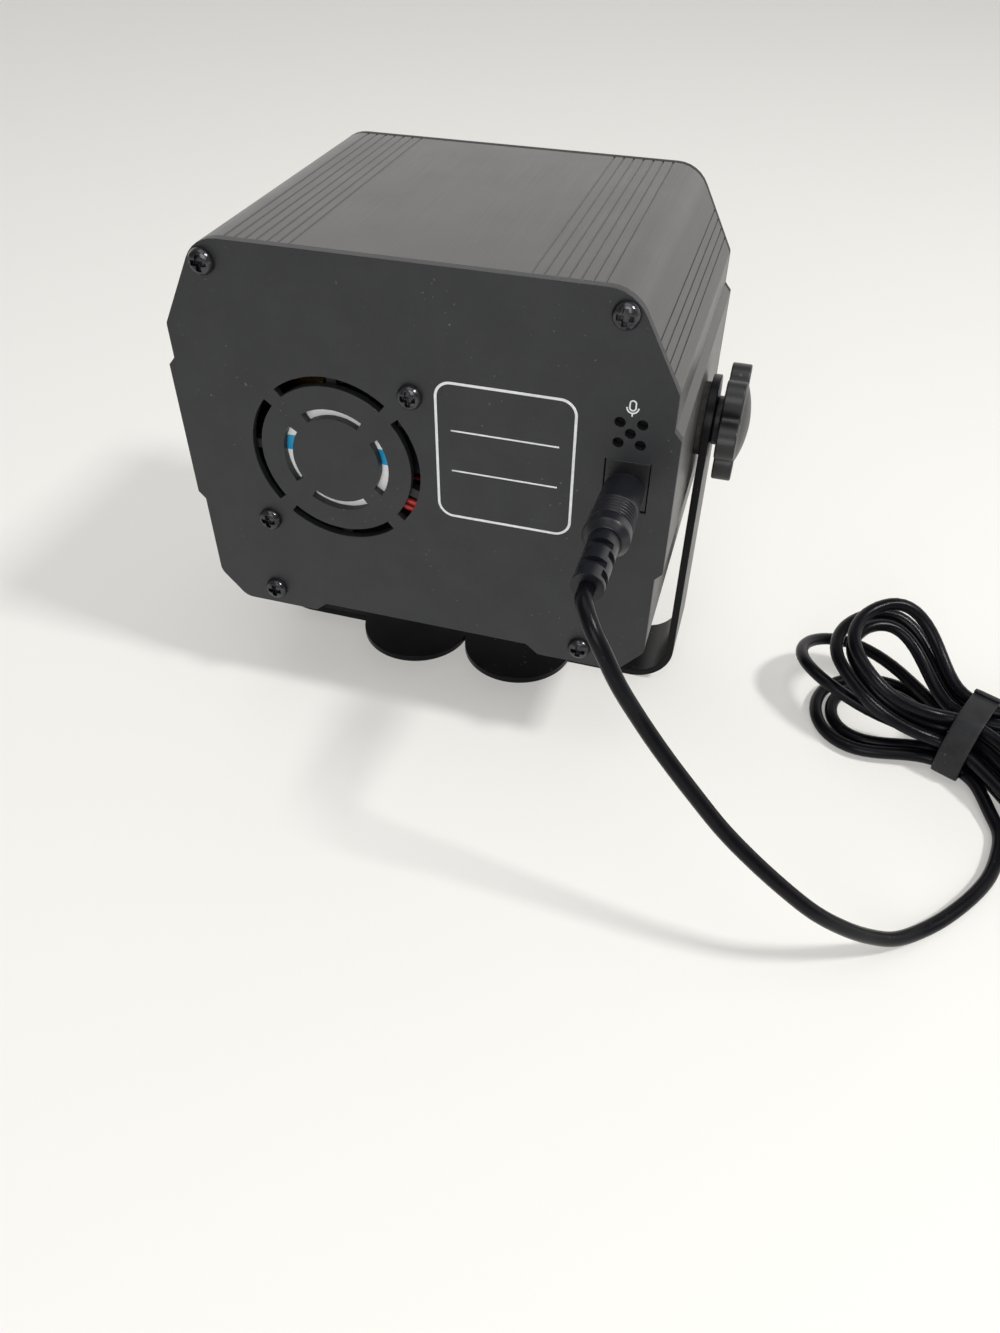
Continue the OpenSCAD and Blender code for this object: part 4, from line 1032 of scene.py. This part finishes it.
@dataclass
class RearPrint:
    """White print on the rear plate: a plain rounded frame with ruled rows, and a microphone sign."""

    face_y: float = -44.5
    lift: float = 0.03
    sunk: float = 0.03
    centre: Span = (21.5, 87.0)
    size: Span = (31.7, 34.0)
    corner: float = 3.6
    corner_points: int = 14
    line: float = 0.62
    rows: tuple[float, ...] = (5.6, -4.6)
    row_inset: float = 3.4
    row_line: float = 0.4
    row_points: int = 12
    mic: Span = (49.1, 104.6)
    mic_line: float = 0.34
    mic_body: Place = (1.3, 2.2, 0.64)
    mic_body_up: float = 0.35
    mic_body_points: int = 8
    mic_cup: float = 1.25
    mic_cup_up: float = -0.1
    mic_cup_points: int = 20
    mic_stem: Span = (-1.3, -2.1)
    mic_stem_points: int = 4
    section_power: float = 4.0
    section_points: int = 12

    def stroke(self, points: np.ndarray, width: float, closed: bool) -> np.ndarray:
        """Sweeps an ink line's flat section along points on the plate's face.

        Args:
            points: points (x, z), n by 2.
            width: the line's width.
            closed: whether the line closes on itself.

        Returns:
            The line's grid, in metres.
        """
        y = self.face_y - (self.lift - self.sunk) / 2
        path = np.stack([points[:, 0], np.full(len(points), y), points[:, 1]], axis=1) * MM
        section = bar_profile(
            width * MM, (self.lift + self.sunk) * MM, self.section_power, self.section_points
        )
        return sweep(path, section, closed=closed, up=(0, -1, 0))

    def add(self, name: str, grid: np.ndarray, closed: bool) -> None:
        """Makes one printed piece that rides on the head.

        Args:
            name: the piece's name.
            grid: its grid.
            closed: whether its line closes on itself.
        """
        piece = new_piece(name, grid_mesh(name, grid, wrap_rows=closed))
        PAINT.dress(piece, INK)
        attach(piece, Body.HEAD.value)
        log.info("%s", name)

    def build(self) -> None:
        """Draws the frame, its rows, and the sign over the microphone holes."""
        frame_path = rounded_box_path(*self.size, self.corner, self.corner_points) + self.centre
        self.add("print_frame", self.stroke(frame_path, self.line, True), True)
        half = self.size[0] / 2 - self.row_inset
        x = np.linspace(-half, half, self.row_points) + self.centre[0]
        for index, row in enumerate(self.rows):
            line = np.stack([x, np.full(len(x), self.centre[1] + row)], axis=1)
            self.add(f"print_row_{index + 1}", self.stroke(line, self.row_line, False), False)
        pill = rounded_box_path(*self.mic_body, self.mic_body_points)
        pill = pill + np.array(self.mic) + [0, self.mic_body_up]
        self.add("print_mic_body", self.stroke(pill, self.mic_line, True), True)
        a = np.linspace(np.pi, 2 * np.pi, self.mic_cup_points)
        bowl = np.stack([self.mic_cup * np.cos(a), self.mic_cup * np.sin(a)], axis=1)
        cup = bowl + self.mic + [0, self.mic_cup_up]
        self.add("print_mic_cup", self.stroke(cup, self.mic_line, False), False)
        rise = np.linspace(*self.mic_stem, self.mic_stem_points)
        stem = np.stack([0 * rise, rise], axis=1) + self.mic
        self.add("print_mic_stem", self.stroke(stem, self.mic_line, False), False)


@dataclass
class FanWiring:
    """The two thin leads that leave the fan's hub below its fourth strut."""

    centre: Place = (-20.2, -41.1, 79.5)
    angle: float = math.radians(-20)
    below: Span = (-3.1, -5.0)
    reach: Span = (12.6, 24.2)
    diameter: float = 1.5
    bow: float = 0.3
    steps: int = 24
    sides: int = 12

    def build(self) -> None:
        """Sweeps each lead from the hub to the frame, with half a sine wave as its bow."""
        along = np.array([math.cos(self.angle), 0, math.sin(self.angle)])
        across = np.array([-along[2], 0, along[0]])
        r = np.linspace(*self.reach, self.steps)
        bow = self.bow * np.sin(np.linspace(0, np.pi, self.steps))
        for index, side in enumerate(self.below):
            path = (np.array(self.centre) + r[:, None] * along + (side - bow)[:, None] * across) * MM
            grid = sweep(path, ring_profile(self.diameter * MM, self.sides), up=(0, -1, 0))
            piece = new_piece(f"fan_wire_{index + 1}", grid_mesh(f"fan_wire_{index + 1}", grid))
            PAINT.dress(piece, RED_LEAD)
            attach(piece, Body.HEAD.value)
            log.info("%s", piece.name)


@dataclass(frozen=True)
class Lamp:
    """A square area lamp that looks at a point, in metres and watts."""

    name: str
    place: Place
    aim: Place
    size: float
    power: float
    tint: Colour

    def hang(self) -> None:
        """Adds the lamp to the scene."""
        data = bpy.data.lights.new(self.name, "AREA")
        data.size, data.energy, data.color = self.size, self.power, self.tint
        lamp = bpy.data.objects.new(self.name, data)
        lamp.location = self.place
        lamp.rotation_mode = "QUATERNION"
        lamp.rotation_quaternion = (Vector(self.aim) - Vector(self.place)).to_track_quat("-Z", "Y")
        bpy.context.scene.collection.objects.link(lamp)


WARM: Colour = (1.0, 0.985, 0.96)
COOL: Colour = (0.98, 0.985, 1.0)
LAMPS: tuple[Lamp, ...] = (
    Lamp("key_light", (0.745, -0.12, 1.0), (0.05, -0.04, 0.03), 0.16, 9.0, WARM),
    Lamp("ceiling_light", (-0.05, -0.15, 1.45), (0, -0.05, 0), 0.9, 3.9, COOL),
    Lamp("room_light", (0.1, -0.9, 0.5), (0, -0.04, 0.07), 0.5, 3.3, COOL),
)


@dataclass
class Studio:
    """Pale table, soft light from the right, from above and from the room, and the photograph's camera."""

    eye: Place = (75.511, -232.479, 204.055)
    right: Place = (0.95848, 0.28505, 0.00784)
    up: Place = (-0.19834, 0.64669, 0.73652)
    ahead: Place = (-0.20487, 0.70749, -0.67637)
    lens: float = 26.868
    sensor: float = 36.0
    clip: Span = (0.01, 50.0)
    floor_colour: Colour = (0.82, 0.81, 0.78)
    floor_tone: float = 1.02
    floor_tone_scale: float = 6.0
    floor_rough: float = 0.75
    floor_reach: float = 6.0
    floor_cells: int = 8
    white: Colour = (0.985, 0.97, 0.93)
    lift: float = 0.3
    wall: float = 1.2
    wall_depth: Span = (-0.15, 0.5)
    wall_top: Span = (0.35, 0.8)
    room: float = 0.24
    room_tint: Colour = (1.0, 0.99, 0.97)

    def camera(self) -> None:
        """Places the camera from its three directions."""
        data = bpy.data.cameras.new("camera")
        data.lens = self.lens
        data.sensor_width = self.sensor
        data.clip_start, data.clip_end = self.clip
        camera = bpy.data.objects.new("camera", data)
        turn = Matrix((self.right, self.up, tuple(-c for c in self.ahead))).transposed()
        camera.matrix_world = Matrix.Translation(Vector(self.eye) * MM) @ turn.to_4x4()
        bpy.context.scene.collection.objects.link(camera)
        bpy.context.scene.camera = camera

    def floor(self) -> None:
        """Lays a flat grid as a plain pale table top with a faint tone in its colour."""
        cells, row = self.floor_cells, self.floor_cells + 1
        grid = np.linspace(-self.floor_reach, self.floor_reach, row)
        x, y = np.meshgrid(grid, grid, indexing="ij")
        points = np.stack([x, y, np.zeros_like(x)], axis=-1).reshape(-1, 3)
        i, j = np.meshgrid(np.arange(cells), np.arange(cells), indexing="ij")
        first = (i * row + j).ravel()
        faces = np.stack([first, first + row, first + row + 1, first + 1], axis=1)
        mesh = bpy.data.meshes.new("floor")
        mesh.from_pydata(points.tolist(), [], faces.tolist())
        floor = new_piece("floor", mesh)
        material = bpy.data.materials.new("pale_table")
        graph = Graph.on_material(material)
        tone = graph.noise(self.floor_tone_scale, FINE_DETAIL)
        pale = tuple(min(1.0, c * self.floor_tone) for c in self.floor_colour)
        graph.set(Base_Color=graph.blend(tone, self.floor_colour, pale), Roughness=self.floor_rough)
        rays = graph.add("ShaderNodeLightPath").outputs
        names = ("Is Camera Ray", "Is Glossy Ray", "Is Transmission Ray")
        seen = [Value(graph, rays[name]) for name in names]
        glow = graph.add("ShaderNodeEmission", None, {"Color": (*self.white, 1.0), "Strength": 1.0})
        share = seen[0].most(seen[1]).most(seen[2]) * self.lift
        mixed = graph.add(
            "ShaderNodeMixShader", None, {0: share, 1: graph.shader.outputs[0], 2: glow.outputs[0]}
        )
        graph.feed(graph.output.inputs[0], mixed.outputs[0])
        mesh.materials.append(material)

    def light(self) -> None:
        """Sets a dim room with a bright wall low down behind the part, and three soft lamps."""
        world = bpy.data.worlds.new("soft_room")
        graph = Graph(world, "ShaderNodeBackground", "ShaderNodeOutputWorld")
        _, y, z = graph.axes(graph.add("ShaderNodeTexCoord").outputs["Generated"])
        wall = y.step(*self.wall_depth) * (1 - z.step(*self.wall_top))
        graph.set(Color=(*self.room_tint, 1.0), Strength=self.room + (self.wall - self.room) * wall)
        bpy.context.scene.world = world
        for lamp in LAMPS:
            lamp.hang()
        bpy.context.scene.view_settings.view_transform = "Standard"


def dress_nodes() -> None:
    """Gives every node that still shows its own finish."""
    for node, finish in NODE_FINISH.items():
        PAINT.dress(NODES[node], finish)


def main() -> None:
    """Builds the scene: camera, dressed solids, lead with its tie, print, fan wires, floor and light."""
    studio = Studio()
    studio.camera()
    dress_nodes()
    SoftEdges().build()
    PowerLead().build()
    RearPrint().build()
    FanWiring().build()
    studio.floor()
    studio.light()


if __name__ == "__main__":
    main()
